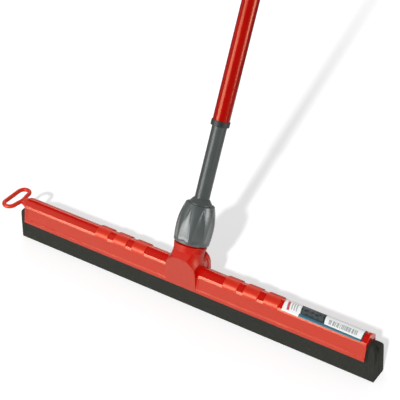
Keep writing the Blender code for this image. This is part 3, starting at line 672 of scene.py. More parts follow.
class Shape:
    """Makes mesh objects and finishes them; each stays at the origin with its place in its mesh."""

    @staticmethod
    def from_faces(name: str, points: Sequence[Point3], faces: Sequence[Sequence[int]]) -> Object:
        """Make an object from points and faces, with its normals facing out.

        Args:
            name: Name of the new object.
            points: Its vertices.
            faces: Its faces, as numbers of vertices.

        Returns:
            The new object.
        """
        mesh = bpy.data.meshes.new(name)
        mesh.from_pydata([tuple(p) for p in points], [], [tuple(f) for f in faces])
        Shape.clean(mesh)
        return Shape.link(name, mesh)

    @staticmethod
    def link(name: str, data: bpy.types.ID) -> Object:
        """Put a mesh, a lamp or a camera into the scene.

        Args:
            name: Name of the new object.
            data: What it holds.

        Returns:
            The new object.
        """
        item = bpy.data.objects.new(name, data)
        bpy.context.scene.collection.objects.link(item)
        return item

    @staticmethod
    def clean(mesh: bpy.types.Mesh, slivers: bool = False) -> None:
        """Merge doubles and turn the normals out.

        Args:
            mesh: The mesh.
            slivers: Whether faces without area are dissolved too.
        """
        work = bmesh.new()
        work.from_mesh(mesh)
        bmesh.ops.remove_doubles(work, verts=work.verts, dist=1e-7)
        if slivers:
            bmesh.ops.dissolve_degenerate(work, edges=work.edges, dist=1e-8)
        bmesh.ops.recalc_face_normals(work, faces=work.faces)
        work.to_mesh(mesh)
        work.free()

    @staticmethod
    def prism(
        name: str, points: Sequence[Point2], length: float, axis: Axis, middle: Sequence[float] = (0, 0, 0)
    ) -> Object:
        """Extrude a closed outline.

        Args:
            name: Name of the new object.
            points: The outline, in its own plane.
            length: Length of the extrusion, half to each side of the plane.
            axis: Direction of the extrusion.
            middle: Where the outline's origin goes.

        Returns:
            The new object.
        """
        sections = [[(x, y, z) for x, y in points] for z in (-length / 2, length / 2)]
        item = Shape.loft(name, sections)
        item.data.transform(Matrix.Translation(Vector(middle)) @ axis.value)
        return item

    @staticmethod
    def loft(name: str, sections: Sequence[Sequence[Point3]]) -> Object:
        """Skin a row of sections and close both ends.

        Args:
            name: Name of the new object.
            sections: Closed sections, all with the same number of points.

        Returns:
            The new object.
        """
        count = len(sections[0])
        last = (len(sections) - 1) * count
        faces: list[Sequence[int]] = []
        for k in range(0, last, count):
            for i in range(count):
                j = (i + 1) % count
                faces.append((k + i, k + j, k + count + j, k + count + i))
        faces += [range(count), range(last, last + count)]
        return Shape.from_faces(name, [point for section in sections for point in section], faces)

    @staticmethod
    def lathe(name: str, points: Sequence[Point2], steps: int = 128, ring: bool = False) -> Object:
        """Turn a profile of (radius, height) points about Z.

        Args:
            name: Name of the new object.
            points: The profile. A ring's is closed; any other starts and ends on the axis.
            steps: Number of segments round the axis.
            ring: Whether the profile is closed and clear of the axis.

        Returns:
            The new object.
        """
        rows = len(points)
        corners = []
        for k in range(steps):
            angle = 2 * math.pi * k / steps
            corners += [(r * math.cos(angle), r * math.sin(angle), z) for r, z in points]
        faces = []
        for k in range(steps):
            a, b = k * rows, ((k + 1) % steps) * rows
            for i in range(rows if ring else rows - 1):
                j = (i + 1) % rows
                faces.append((a + i, b + i, b + j, a + j))
        mesh = bpy.data.meshes.new(name)
        mesh.from_pydata(corners, [], faces)
        Shape.clean(mesh, slivers=True)
        return Shape.link(name, mesh)

    @staticmethod
    def settle(item: Object) -> Object:
        """Apply an object's modifiers.

        Args:
            item: The object.

        Returns:
            The same object, with a plain mesh.
        """
        graph = bpy.context.evaluated_depsgraph_get()
        mesh = bpy.data.meshes.new_from_object(
            item.evaluated_get(graph), preserve_all_data_layers=True, depsgraph=graph
        )
        item.modifiers.clear()
        old = item.data
        item.data = mesh
        mesh.name = item.name
        if isinstance(old, bpy.types.Mesh):
            bpy.data.meshes.remove(old)
        return item

    @staticmethod
    def combine(item: Object, other: Object, operation: str) -> Object:
        """Join, cut or intersect an object with another one.

        Args:
            item: The object that stays.
            other: The object that is used up.
            operation: UNION, DIFFERENCE or INTERSECT.

        Returns:
            The object that stays.
        """
        modifier = item.modifiers.new("join", "BOOLEAN")
        modifier.operation = operation
        modifier.solver = "EXACT"
        modifier.material_mode = "TRANSFER"
        modifier.object = other
        Shape.settle(item)
        bpy.data.objects.remove(other, do_unlink=True)
        return item

    @staticmethod
    def coat(item: Object, finish: Finish) -> None:
        """Give an object a finish, unless it has a material already.

        Args:
            item: The object.
            finish: Its finish.
        """
        if not any(item.data.materials):
            item.data.materials.clear()
            item.data.materials.append(finish.material())

    @staticmethod
    def soften(item: Object, width: float, segments: int, angle: float) -> Object:
        """Round an object's edges.

        Args:
            item: The object.
            width: Width of the rounding.
            segments: Number of segments in each rounding.
            angle: Edges sharper than this, in degrees, are rounded.

        Returns:
            The object.
        """
        bevel = item.modifiers.new("soften", "BEVEL")
        bevel.width = width
        bevel.segments = segments
        bevel.limit_method = "ANGLE"
        bevel.angle_limit = math.radians(angle)
        bevel.use_clamp_overlap = True
        return Shape.settle(item)

    @staticmethod
    def shade(item: Object, angle: float) -> Object:
        """Shade round faces smooth and let the large flat faces lead.

        Args:
            item: The object.
            angle: Edges sharper than this, in degrees, stay sharp.

        Returns:
            The object.
        """
        item.data.shade_smooth()
        item.data.set_sharp_from_angle(angle=math.radians(angle))
        weigh = item.modifiers.new("weigh", "WEIGHTED_NORMAL")
        weigh.mode = "FACE_AREA_WITH_ANGLE"
        weigh.keep_sharp = True
        return Shape.settle(item)


class Recipe:
    """A Geometry Nodes tree with named inputs that turns one mesh into a finished one."""

    SOCKETS: ClassVar[dict[type, str]] = {float: "NodeSocketFloat", int: "NodeSocketInt"}

    def __init__(self, name: str, sizes: dict[str, Number]) -> None:
        """Make the tree's inputs.

        Args:
            name: Name of the node group.
            sizes: The named inputs and their values.
        """
        self.group = bpy.data.node_groups.new(name, "GeometryNodeTree")
        self.sizes = sizes
        interface = self.group.interface
        interface.new_socket(name="Geometry", in_out="INPUT", socket_type="NodeSocketGeometry")
        for label, value in sizes.items():
            interface.new_socket(name=label, in_out="INPUT", socket_type=self.SOCKETS[type(value)])
        interface.new_socket(name="Finish", in_out="INPUT", socket_type="NodeSocketMaterial")
        interface.new_socket(name="Geometry", in_out="OUTPUT", socket_type="NodeSocketGeometry")
        self.graph = Graph(self.group)
        self.source = self.group.nodes.new("NodeGroupInput")

    def given(self, label: str) -> Channel:
        """Return the channel of a named input."""
        return Channel(self.graph, self.source.outputs[label])

    def repeat(self, directions: Sequence[Point3]) -> None:
        """Repeat the mesh in rows, by the inputs First, Pitch and Count, and end the tree.

        Args:
            directions: The direction in which each row leaves the origin.
        """
        graph = self.graph
        joined = self.group.nodes.new("GeometryNodeJoinGeometry")
        for direction in directions:
            start = graph.join(*(self.given("First") * part for part in direction))
            step = graph.join(*(self.given("Pitch") * part for part in direction))
            inputs = {"Count": self.given("Count"), "Start Location": start, "Offset": step}
            row = graph.node("GeometryNodeMeshLine", {"mode": "OFFSET"}, inputs)
            self.group.links.new(row.socket, joined.inputs[0])
        inputs = {"Points": Channel(graph, joined.outputs[0]), "Instance": self.given("Geometry")}
        self.finish(graph.node("GeometryNodeInstanceOnPoints", inputs=inputs))

    def finish(self, geometry: Channel) -> None:
        """End the tree in realized instances that carry the finish.

        Args:
            geometry: What the tree has made.
        """
        real = self.graph.node("GeometryNodeRealizeInstances", inputs={0: geometry})
        inputs = {"Geometry": real, "Material": self.given("Finish")}
        dressed = self.graph.node("GeometryNodeSetMaterial", inputs=inputs)
        self.graph.node("NodeGroupOutput", inputs={0: dressed})

    def apply(self, item: Object, finish: Finish) -> Object:
        """Run the tree on an object.

        Args:
            item: The object that holds the tree's Geometry input.
            finish: What the result is made of.

        Returns:
            The object, with the result as a plain mesh.
        """
        modifier = item.modifiers.new(self.group.name, "NODES")
        modifier.node_group = self.group
        values: dict[str, object] = {**self.sizes, "Finish": finish.material()}
        for socket in self.group.interface.items_tree:
            if socket.in_out == "INPUT" and socket.name in values:
                modifier[socket.identifier] = values[socket.name]
        return Shape.settle(item)


class Dresser:
    """Puts finished pieces on their bodies and keeps count of them."""

    def __init__(self) -> None:
        """Start with no pieces."""
        self.count = 0

    def place(
        self,
        item: Object,
        body: Body,
        finish: Finish,
        slot: Slot,
        stands_for: Sequence[str] = (),
        at: Optional[Matrix] = None,
        angle: float = 30.0,
    ) -> Object:
        """Give a piece its finish, place and body.

        Args:
            item: The piece.
            body: The body that it rides on.
            finish: Its finish.
            slot: Not used.
            stands_for: CAD nodes that it replaces.
            at: Matrix from the piece's own frame to the world.
            angle: Edges sharper than this, in degrees, stay sharp.

        Returns:
            The piece.
        """
        if at is not None:
            item.data.transform(at)
        Shape.shade(item, angle)
        Shape.coat(item, finish)
        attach(item, body.value)
        if stands_for:
            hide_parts(*stands_for)
        self.count += 1
        LOG.info("%s: %d faces on %s", item.name, len(item.data.polygons), body.value)
        return item

    def keep(self, node: str, finish: Finish) -> None:
        """Give a CAD node that stays a finish.

        Args:
            node: The node's name.
            finish: Its finish.
        """
        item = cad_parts[node]
        item.data.materials.clear()
        item.data.materials.append(finish.material())
        LOG.info("%s: kept from the frame", node)


@dataclass
class HeadFrame:
    """The red moulding: rail, pads, cheeks, socket, web and hanging loop."""

    length: float = 524 * MM
    foot: float = 28 * MM
    depth: float = 15.8 * MM
    ledge_depth: float = 11.5 * MM
    wall: float = 2.4 * MM
    edge: float = 0.8 * MM
    rail_edge: float = 0.5 * MM
    pad_edge: float = 0.7 * MM
    web_edge: float = 0.9 * MM
    overlap: float = 0.3 * MM
    bead_height: float = 5.5 * MM
    bead_slope: float = 2.5 * MM
    bead_proud: float = 0.4 * MM
    bead_step: float = 0.3 * MM
    bead_radius: float = 2 * MM
    recess: float = 0.6 * MM
    panel_top: float = 3 * MM
    panel_gap: float = 2.6 * MM
    panel_start: float = 0.05 * MM
    cutter_reach: float = 4 * MM
    border: float = 4 * MM
    brow_height: float = 50 * MM
    facet_depth: float = 10.2 * MM
    facet_height: float = 53.4 * MM
    facet_rise: float = 0.3         # of the facet's edge, for each unit that a section stands proud
    crest_rise: float = 1.27        # of the crest, likewise
    brow_radius: float = 6 * MM
    facet_radius: float = 2.2 * MM
    crest_height: float = 61.45 * MM
    crest_radius: float = 8 * MM
    hollow_depth: float = 5.2 * MM
    hollow_rise: float = 6 * MM
    hollow_drop: float = 2 * MM
    rim_length: float = 4.4 * MM
    rim_proud: float = 0.6 * MM
    pad_first: float = 60.5 * MM
    pad_length: float = 20.4 * MM
    pad_pitch: float = 29.7 * MM
    pad_count: int = 3
    pad_rise: float = 9.4 * MM
    pad_sink: float = 1.2 * MM
    cheek_width: float = 22.6 * MM
    cheek_spring: float = 55.1 * MM
    cheek_rise: float = 18.2 * MM
    cheek_thickness: float = 6 * MM
    rear_cheek_depth: float = 21.5 * MM
    gusset_step: float = 1 * MM
    gusset_front: float = 1.5 * MM
    buttress_foot: float = 6 * MM
    buttress_drop: float = 0.8 * MM
    socket_width: float = 21.8 * MM
    socket_radius: float = 20.3 * MM
    socket_root: float = 26 * MM
    flare: float = 16.5
    dish_height: float = 73.2 * MM
    dish_lean: float = 50.0
    collar_foot: float = 25 * MM
    collar_radius: float = 21.8 * MM
    collar_sink: float = 1 * MM
    collar_drop: float = 0.5 * MM
    collar_inset: float = 0.4 * MM
    collar_edge: float = 1.2 * MM
    socket_inset: float = 0.15 * MM
    room_depth: float = 90 * MM
    room_height: float = 150 * MM
    socket_top: float = 34 * MM
    neck_radius: float = 17.4 * MM
    neck_top: float = 70 * MM
    neck_mouth: float = 8 * MM
    neck_foot: float = 30 * MM
    neck_chamfer: float = 0.8 * MM
    thread_start: float = 1.5 * MM
    thread_pitch: float = 4 * MM
    thread_depth: float = 0.9 * MM
    thread_edge: float = 0.3 * MM
    neck_flare: float = 2.4 * MM
    collet_bore: float = 12.6 * MM
    collet_foot: float = 29.7 * MM
    tube_bore: float = 9.9 * MM
    bore_foot: float = 13.9 * MM
    bore_reach: float = 3 * MM
    wire: float = 2.9 * MM
    loop_width: float = 17 * MM
    loop_depth: float = 44.5 * MM
    loop_reach: float = 24 * MM
    loop_dip: float = 2.2 * MM
    web_thickness: float = 4.2 * MM
    web_sink: float = 2.2 * MM
    web_neck: float = 7 * MM
    ramp: float = 12 * MM
    ramp_root: float = 1.5 * MM
    ramp_sink: float = 2 * MM
    ramp_inset: float = 0.1 * MM
    ramp_width: float = 0.3
    ramp_height: float = 0.3

    def face(self, height: float) -> float:
        """Return the skirts' half-depth.

        Args:
            height: Height over the soles.

        Returns:
            Half the depth between the drafted faces.
        """
        share = (height - self.foot) / (LEDGE_HEIGHT - self.foot)
        return self.depth + share * (self.ledge_depth - self.depth)

    def crown(self, proud: float = 0.0) -> list[Corner]:
        """Return half of the section above the skirts: brow, narrow facet, slope and round crest.

        Args:
            proud: How far the section stands outside the ridge's own.

        Returns:
            Its corners, from the brow up.
        """
        return [
            (self.face(self.brow_height) + proud, self.brow_height, self.brow_radius),
            (self.facet_depth + proud, self.facet_height + self.facet_rise * proud, self.facet_radius),
            (0.0, self.crest_height + self.crest_rise * proud, self.crest_radius),
        ]

    def rail(self) -> Object:
        """Make the long rail: beads, skirts and crown over an open channel.

        Returns:
            The rail, centred on the head.
        """
        bead = self.face(self.foot + self.bead_height / 2) + self.bead_proud
        bead_top = self.foot + self.bead_height
        roof = LEDGE_HEIGHT - self.wall
        inner_foot = self.face(self.foot) - self.wall
        inner_top = self.face(roof) - self.wall
        half = [
            (inner_top, roof, self.edge),
            (inner_foot, self.foot, self.edge),
            (bead, self.foot, self.edge),
            (bead - self.bead_step, bead_top - self.bead_slope / 2, self.bead_radius),
            (self.face(bead_top), bead_top + self.bead_step, self.bead_radius),
        ]
        points = Outline(mirrored(half + self.crown())).points(6)
        rail = Shape.prism("head_moulding", points, self.length, Axis.ALONG_X)
        return Shape.soften(rail, self.rail_edge, 2, 40)

    def panels(self, rail: Object) -> None:
        """Sink the long panels into both skirts, on each side of the cheeks.

        Args:
            rail: The rail, which is cut.
        """
        low = self.foot + self.bead_height
        high = LEDGE_HEIGHT - self.panel_top
        inner = self.cheek_width + self.panel_gap
        outer = self.length / 2 - self.border
        far = self.depth + self.cutter_reach
        sunk = low + self.bead_slope
        section = [
            (self.face(low) + self.panel_start, low), (self.face(sunk) - self.recess, sunk),
            (self.face(high) - self.recess, high), (far, high), (far, low),
        ]
        for side in (-1, 1):
            for face in (-1, 1):
                points = [(face * y, z) for y, z in section]
                middle = (side * (inner + outer) / 2, 0, 0)
                cut = Shape.prism("panel", points, outer - inner, Axis.ALONG_X, middle)
                Shape.combine(rail, cut, "DIFFERENCE")

    def pads(self) -> Object:
        """Make the raised pads on both sides of the socket, repeated along the rail.

        Returns:
            All pads in one object.
        """
        foot = self.brow_height - self.pad_sink
        half = [(self.face(foot) - self.recess / 2, foot, 0.0)]
        half += ellipse_arc(self.face(self.brow_height), self.pad_rise, self.brow_height, 24)
        pad = Shape.prism("pads", Outline(mirrored(half)).points(4), self.pad_length, Axis.ALONG_X)
        Shape.soften(pad, self.pad_edge, 3, 40)
        first = self.pad_first + self.pad_length / 2
        recipe = Recipe("pads_along_rail", {"First": first, "Pitch": self.pad_pitch, "Count": self.pad_count})
        recipe.repeat([(1.0, 0.0, 0.0), (-1.0, 0.0, 0.0)])
        return recipe.apply(pad, ROUGH_RED_PAINTED_LIGHTER)

    def cheek(self, name: str, foot: float, middle: float) -> Object:
        """Make one arched cheek.

        Args:
            name: Name of the new object.
            foot: Height at which it begins.
            middle: Where its middle plane lies, behind the head's.

        Returns:
            The cheek.
        """
        half = [(self.cheek_width, foot, 0.0)]
        half += ellipse_arc(self.cheek_width, self.cheek_rise, self.cheek_spring, 32)
        points = Outline(mirrored(half)).points(1)
        cheek = Shape.prism(name, points, self.cheek_thickness, Axis.ALONG_Y, (0, middle, 0))
        return Shape.soften(cheek, self.edge, 3, 40)

    @staticmethod
    def turned(name: str, points: Sequence[Point2], steps: int) -> Object:
        """Turn a profile about the handle's axis.

        Args:
            name: Name of the new object.
            points: The profile, as (radius, height along the handle).
            steps: Number of segments round the axis.

        Returns:
            The new object, in the head's own frame.
        """
        item = Shape.lathe(name, points, steps)
        item.data.transform(HEAD.inverted() @ HANDLE)
        return item

    def socket(self) -> Object:
        """Make the flared socket, flat on its sides and dished in front, with its collar.

        Returns:
            The socket, without its neck and bore.
        """
        rows = 14
        drop = self.collar_foot + self.socket_root / 2
        heights = [self.collar_foot - drop * i / rows for i in range(rows + 1)]
        flared = [(self.socket_radius + self.flare * (self.collar_foot - z) ** 2, z) for z in heights]
        top = self.collar_foot + self.collar_sink
        profile = [(0.0, top), (self.socket_radius - self.collar_inset, top)] + flared
        profile += [(flared[-1][0], -self.socket_root), (0.0, -self.socket_root)]
        body = self.turned("socket", profile, 128)
        front = -self.depth + self.socket_inset
        floor = LEDGE_HEIGHT - self.wall / 3
        back, over = self.room_depth, self.room_height
        dished = front + (over - self.dish_height) * math.tan(math.radians(self.dish_lean))
        corners = [
            (front, floor, 0), (back, floor, 0), (back, over, 0), (dished, over, 0),
            (front, self.dish_height, 0),
        ]
        room = Shape.prism("room", Outline(corners).points(), 2 * self.socket_width, Axis.ALONG_X)
        Shape.combine(body, room, "INTERSECT")
        foot = self.collar_foot - self.collar_drop
        corners = [
            (0.0, self.socket_top, 0.0), (self.collar_radius, self.socket_top, self.collar_edge),
            (self.socket_radius - self.overlap, foot, 0.0), (0.0, foot, 0.0),
        ]
        collar = self.turned("collar", Outline(corners, closed=False).points(5), 108)
        Shape.combine(body, collar, "UNION")
        Shape.clean(body.data)
        return body

    def neck(self) -> Object:
        """Make the threaded neck, a plain stem with rounded thread crests.

        Returns:
            The neck.
        """
        crest, root = self.neck_radius, self.neck_radius - self.thread_depth
        pitch, edge = self.thread_pitch, self.thread_edge
        corners = [(0.0, self.neck_top, 0.0), (crest - self.neck_chamfer, self.neck_top, edge)]
        high = self.neck_top - self.thread_start
        while high - pitch > self.socket_top:
            for radius, share in ((crest, 0.0), (crest, 0.45), (root, 0.6), (root, 0.85)):
                corners.append((radius, high - share * pitch, edge))
            high -= pitch
        corners += [(crest, high, edge), (crest, self.neck_foot, 0.0), (0.0, self.neck_foot, 0.0)]
        return self.turned("neck", Outline(corners, closed=False).points(2), 96)

    def bore(self) -> Object:
        """Make the cutter for the socket's bore.

        Returns:
            The cutter.
        """
        over = self.neck_top + self.bore_reach
        flare = self.collet_bore + self.neck_flare
        profile = [
            (0.0, over), (flare, over), (flare, self.neck_top),
            (self.collet_bore, self.neck_top - self.neck_mouth), (self.collet_bore, self.collet_foot),
            (self.tube_bore, self.collet_foot), (self.tube_bore, self.bore_foot), (0.0, self.bore_foot),
        ]
        return self.turned("bore", profile, 96)

    def buttress(self) -> Object:
        """Make the block that carries the rear cheek and the back of the socket.

        Returns:
            The block.
        """
        low = self.foot + self.buttress_foot
        high = LEDGE_HEIGHT - self.buttress_drop
        front = self.ledge_depth - self.wall
        back = self.rear_cheek_depth - self.cheek_thickness / 2
        corners = [(front, low, 0), (back, low, 0), (back, high, 0), (front, high, 0)]
        width = 2 * (self.cheek_width - self.overlap)
        return Shape.prism("buttress", Outline(corners).points(), width, Axis.ALONG_X)

    def gusset(self) -> Object:
        """Make the arched block that fills the corners between the socket and the rear cheek.

        Returns:
            The block.
        """
        width = self.cheek_width - self.gusset_step
        half = [(width, LEDGE_HEIGHT - self.wall / 2, 0.0)]
        half += ellipse_arc(width, self.cheek_rise - self.gusset_step, self.cheek_spring, 32)
        front = -self.ledge_depth + self.gusset_front
        back = self.rear_cheek_depth - self.cheek_thickness / 2
        middle = (0, (front + back) / 2, 0)
        return Shape.prism("gusset", Outline(mirrored(half)).points(1), back - front, Axis.ALONG_Y, middle)

    def loop_path(self) -> list[Point3]:
        """Draw the centre line of the hanging loop, which dips towards its neck.

        Returns:
            Its points, as a closed ring.
        """
        centre = -self.length / 2 - self.loop_reach
        radius = self.loop_width / 2
        straight = self.loop_depth / 2 - radius
        path: list[Point3] = []
        for side in (1, -1):
            for i in range(17):
                angle = math.pi * i / 16
                y = side * (straight + radius * math.sin(angle))
                path.append((centre + side * radius * math.cos(angle), y, LEDGE_HEIGHT))
        dips = 14
        for i in range(1, dips):
            y = -straight + 2 * straight * i / dips
            dip = self.loop_dip * math.cos(y / straight * math.pi / 2) ** 2
            path.append((centre + radius + dip, y, LEDGE_HEIGHT))
        return path

    def loop(self) -> Object:
        """Make the hanging loop, a round bar swept along its path.

        Returns:
            The loop.
        """
        path = self.loop_path()
        guide = bpy.data.meshes.new("hanging_loop")
        guide.from_pydata(path, [(i, (i + 1) % len(path)) for i in range(len(path))], [])
        item = Shape.link("hanging_loop", guide)
        recipe = Recipe("bar_along_path", {"Radius": self.wire, "Sides": 24})
        graph = recipe.graph
        curve = graph.node("GeometryNodeMeshToCurve", inputs={0: recipe.given("Geometry")})
        inputs = {"Resolution": recipe.given("Sides"), "Radius": recipe.given("Radius")}
        ring = graph.node("GeometryNodeCurvePrimitiveCircle", inputs=inputs)
        swept = graph.node("GeometryNodeCurveToMesh", inputs={"Curve": curve, "Profile Curve": ring})
        recipe.finish(swept)
        recipe.apply(item, ROUGH_RED_PAINTED_LIGHTER)
        Shape.clean(item.data)
        return item

    def web(self) -> Object:
        """Make the flared web between the loop and the frame's end.

        Returns:
            The web.
        """
        end = -self.length / 2
        bar = end - self.loop_reach + self.loop_width / 2 + self.loop_dip
        channel = self.face(LEDGE_HEIGHT) - self.wall
        side = [
            (bar - 1.5 * MM, 2.5 * MM, 0.0),
            (bar + 2.5 * MM, self.web_neck - 1.2 * MM, 2 * MM),
            (end - 6 * MM, channel - 1.4 * MM, 4 * MM),
            (end - 1 * MM, channel, 1 * MM),
            (end + self.wall / 2, channel, 0.0),
        ]
        corners = side + [(x, -y, r) for x, y, r in reversed(side)]
        middle = (0, 0, LEDGE_HEIGHT - self.web_sink + self.web_thickness / 2)
        web = Shape.prism("web", Outline(corners).points(5), self.web_thickness, Axis.ALONG_Z, middle)
        return Shape.soften(web, self.web_edge, 3, 40)

    def ridge_end(self) -> Object:
        """Make the end of the ridge, which tapers down on to the web.

        Returns:
            The ridge's end.
        """
        end = -self.length / 2
        floor = LEDGE_HEIGHT - self.ramp_sink
        half = [(self.face(floor) - self.overlap, floor, 0.0)] + self.crown(-self.ramp_inset)
        section = Outline(mirrored(half)).points(6)
        near = [(end + self.ramp_root, y, z) for y, z in section]
        far = [
            (end - self.ramp, y * self.ramp_width, floor + (z - floor) * self.ramp_height) for y, z in section
        ]
        return Shape.loft("ridge_end", [near, far])

    def end_rim(self) -> Object:
        """Make the raised rim that closes the ridge at its labelled end.

        Returns:
            The rim.
        """
        crown = self.crown(self.rim_proud)
        half = [(crown[0][0], self.brow_height - self.wall / 2, 0.0)] + crown
        middle = ((self.length - self.rim_length) / 2, 0, 0)
        points = Outline(mirrored(half)).points(6)
        rim = Shape.prism("rim", points, self.rim_length, Axis.ALONG_X, middle)
        return Shape.soften(rim, self.edge, 3, 40)

    def hollow(self) -> Object:
        """Make the cutter for the room inside the ridge, where the carrier's bead sits.

        Returns:
            The cutter.
        """
        half = [(self.hollow_depth, LEDGE_HEIGHT - self.wall - self.hollow_drop, 0.0)]
        half += ellipse_arc(self.hollow_depth, self.hollow_rise, LEDGE_HEIGHT, 10)
        points = Outline(mirrored(half)).points(1)
        return Shape.prism("hollow", points, self.length - 2 * self.wall, Axis.ALONG_X)

    def build(self, dresser: Dresser) -> None:
        """Build the moulding as one closed piece and place it.

        Args:
            dresser: Places the piece.
        """
        rail = self.rail()
        self.panels(rail)
        front = -self.depth + self.cheek_thickness / 2
        rear = self.rear_cheek_depth - self.cheek_thickness / 2
        foot = self.foot + self.bead_height / 2
        Shape.coat(rail, RED_MOULDED)
        # these pieces take the rougher red plastic, whose lighter colour is painted light
        for lighter_painted_piece in (self.pads(), self.web(), self.ridge_end(), self.loop()):
            Shape.coat(lighter_painted_piece, ROUGH_RED_PAINTED_LIGHTER)
            Shape.combine(rail, lighter_painted_piece, "UNION")
        socket = self.socket()
        Shape.coat(socket, SATIN_MOULDED)
        others = [
            self.end_rim(),
            self.cheek("front_cheek", foot, front),
            self.cheek("rear_cheek", foot + self.bead_height / 2, rear),
            self.buttress(),
            self.gusset(),
            socket,
            self.neck(),
        ]
        for other in others:
            Shape.coat(other, RED_MOULDED)
            Shape.combine(rail, other, "UNION")
            Shape.clean(rail.data)
        Shape.combine(rail, self.hollow(), "DIFFERENCE")
        Shape.combine(rail, self.bore(), "DIFFERENCE")
        dresser.place(rail, Body.HEAD, RED_MOULDED, Slot.RED_PLASTIC, ["head_frame"], HEAD, 28)


@dataclass
class RubberStrips:
    """The two cellular rubber strips under the head, which swell where they leave its channel."""

    length: float = 545.4 * MM
    offset: float = 1.9 * MM
    channel: float = 262 * MM
    foot: float = 13 * MM
    waist: float = 10.4 * MM
    free_waist: float = 12.2 * MM
    waist_height: float = 28 * MM
    head: float = 8.4 * MM
    free_head: float = 11.4 * MM
    top: float = 48.3 * MM
    gap: float = 0.8 * MM
    sole_gap: float = 0.25 * MM
    carrier_foot: float = 16 * MM
    edge: float = 0.7 * MM
    swell: float = 4 * MM
    end_radius: float = 9.5 * MM
    end_slant: float = 0.03
    end_drop: float = 0.8
    end_edge: float = 0.6 * MM
    shoulder: float = 3 * MM
    free_shoulder: float = 2 * MM
    free_crest: float = 1.5 * MM
    lip_steps: int = 5
    stations: int = 40

    def end_inset(self, height: float) -> float:
        """Return how far the end face lies behind its foot.

        Args:
            height: Height over the sole.

        Returns:
            The distance along the strip.
        """
        start = self.top - self.end_radius
        inset = self.end_slant * height
        if height > start:
            rise = min(1.0, (height - start) / self.end_radius)
            inset += self.end_radius * self.end_drop * (1 - math.sqrt(1 - 0.98 * rise * rise))
        return inset

    def section(self, free: float) -> list[Point2]:
        """Return the section of one strip.

        Args:
            free: 0 inside the channel and 1 where the strip stands free of it.

        Returns:
            Points of (depth, height), as many for every value of free.
        """
        waist = self.waist + (self.free_waist - self.waist) * free
        head = self.head + (self.free_head - self.head) * free
        gap = self.gap + (self.sole_gap - self.gap) * free
        shoulder = self.top - self.shoulder - self.free_shoulder * free
        crest = head - self.shoulder - self.free_crest * free
        corners = [
            (self.sole_gap, 0.0, 0.2 * MM), (self.foot, 0.0, self.edge),
            (waist, self.waist_height, 6 * MM), (head, shoulder, (2 + 2.5 * free) * MM),
            (crest, self.top, (1 + 2 * free) * MM), (gap, self.top, 0.4 * MM),
            (gap, self.carrier_foot, 0.2 * MM), (self.sole_gap, self.carrier_foot - 1 * MM, 0.2 * MM),
        ]
        runs = [4, 8, 6, 1, 1, 6, 1, 4]     # segments from each corner to the next
        points: list[Point2] = []
        for i, (y, z, radius) in enumerate(corners):
            before, after = corners[i - 1][:2], corners[(i + 1) % len(corners)][:2]
            three = Outline([(*before, 0.0), (y, z, radius), (*after, 0.0)], closed=False)
            points += three.points(4)[1:-1]
            for k in range(1, runs[i]):
                share = k / runs[i]
                points.append((y + (after[0] - y) * share, z + (after[1] - z) * share))
        return points

    def strip(self, name: str, side: int) -> Object:
        """Make one strip with slanted, rounded ends.

        Args:
            name: Name of the new object.
            side: -1 in front of the head's middle and 1 behind it.

        Returns:
            The strip.
        """
        swollen = [i / self.lip_steps for i in range(self.lip_steps + 1)]
        reach = self.length / 2
        left_lip = -self.channel - self.offset
        right_lip = self.channel - self.offset
        stations = [(-reach, 1.0)] + [(left_lip - self.swell * share, share) for share in reversed(swollen)]
        for k in range(1, self.stations):
            stations.append((left_lip + (right_lip - left_lip) * k / self.stations, 0.0))
        stations += [(right_lip + self.swell * share, share) for share in swollen] + [(reach, 1.0)]
        sections: list[list[Point3]] = []
        for k, (x, free) in enumerate(stations):
            section = []
            for y, z in self.section(free * free * (3 - 2 * free)):
                limit = reach - self.end_inset(z)
                inside = 0 < k < len(stations) - 1
                here = max(-limit, min(limit, x)) if inside else math.copysign(limit, x)
                section.append((self.offset + here, side * y, z))
            sections.append(section)
        return Shape.soften(Shape.loft(name, sections), self.end_edge, 2, 50)

    def build(self, dresser: Dresser) -> None:
        """Build and place both strips.

        Args:
            dresser: Places the pieces.
        """
        for name, node, side in (("front_rubber", "front_blade", -1), ("rear_rubber", "rear_blade", 1)):
            strip = self.strip(name, side)
            dresser.place(strip, Body.HEAD, FOAM, Slot.BLACK_RUBBER, [node], HEAD, 35)
        dresser.keep("blade_carrier", NATURAL_PLASTIC)


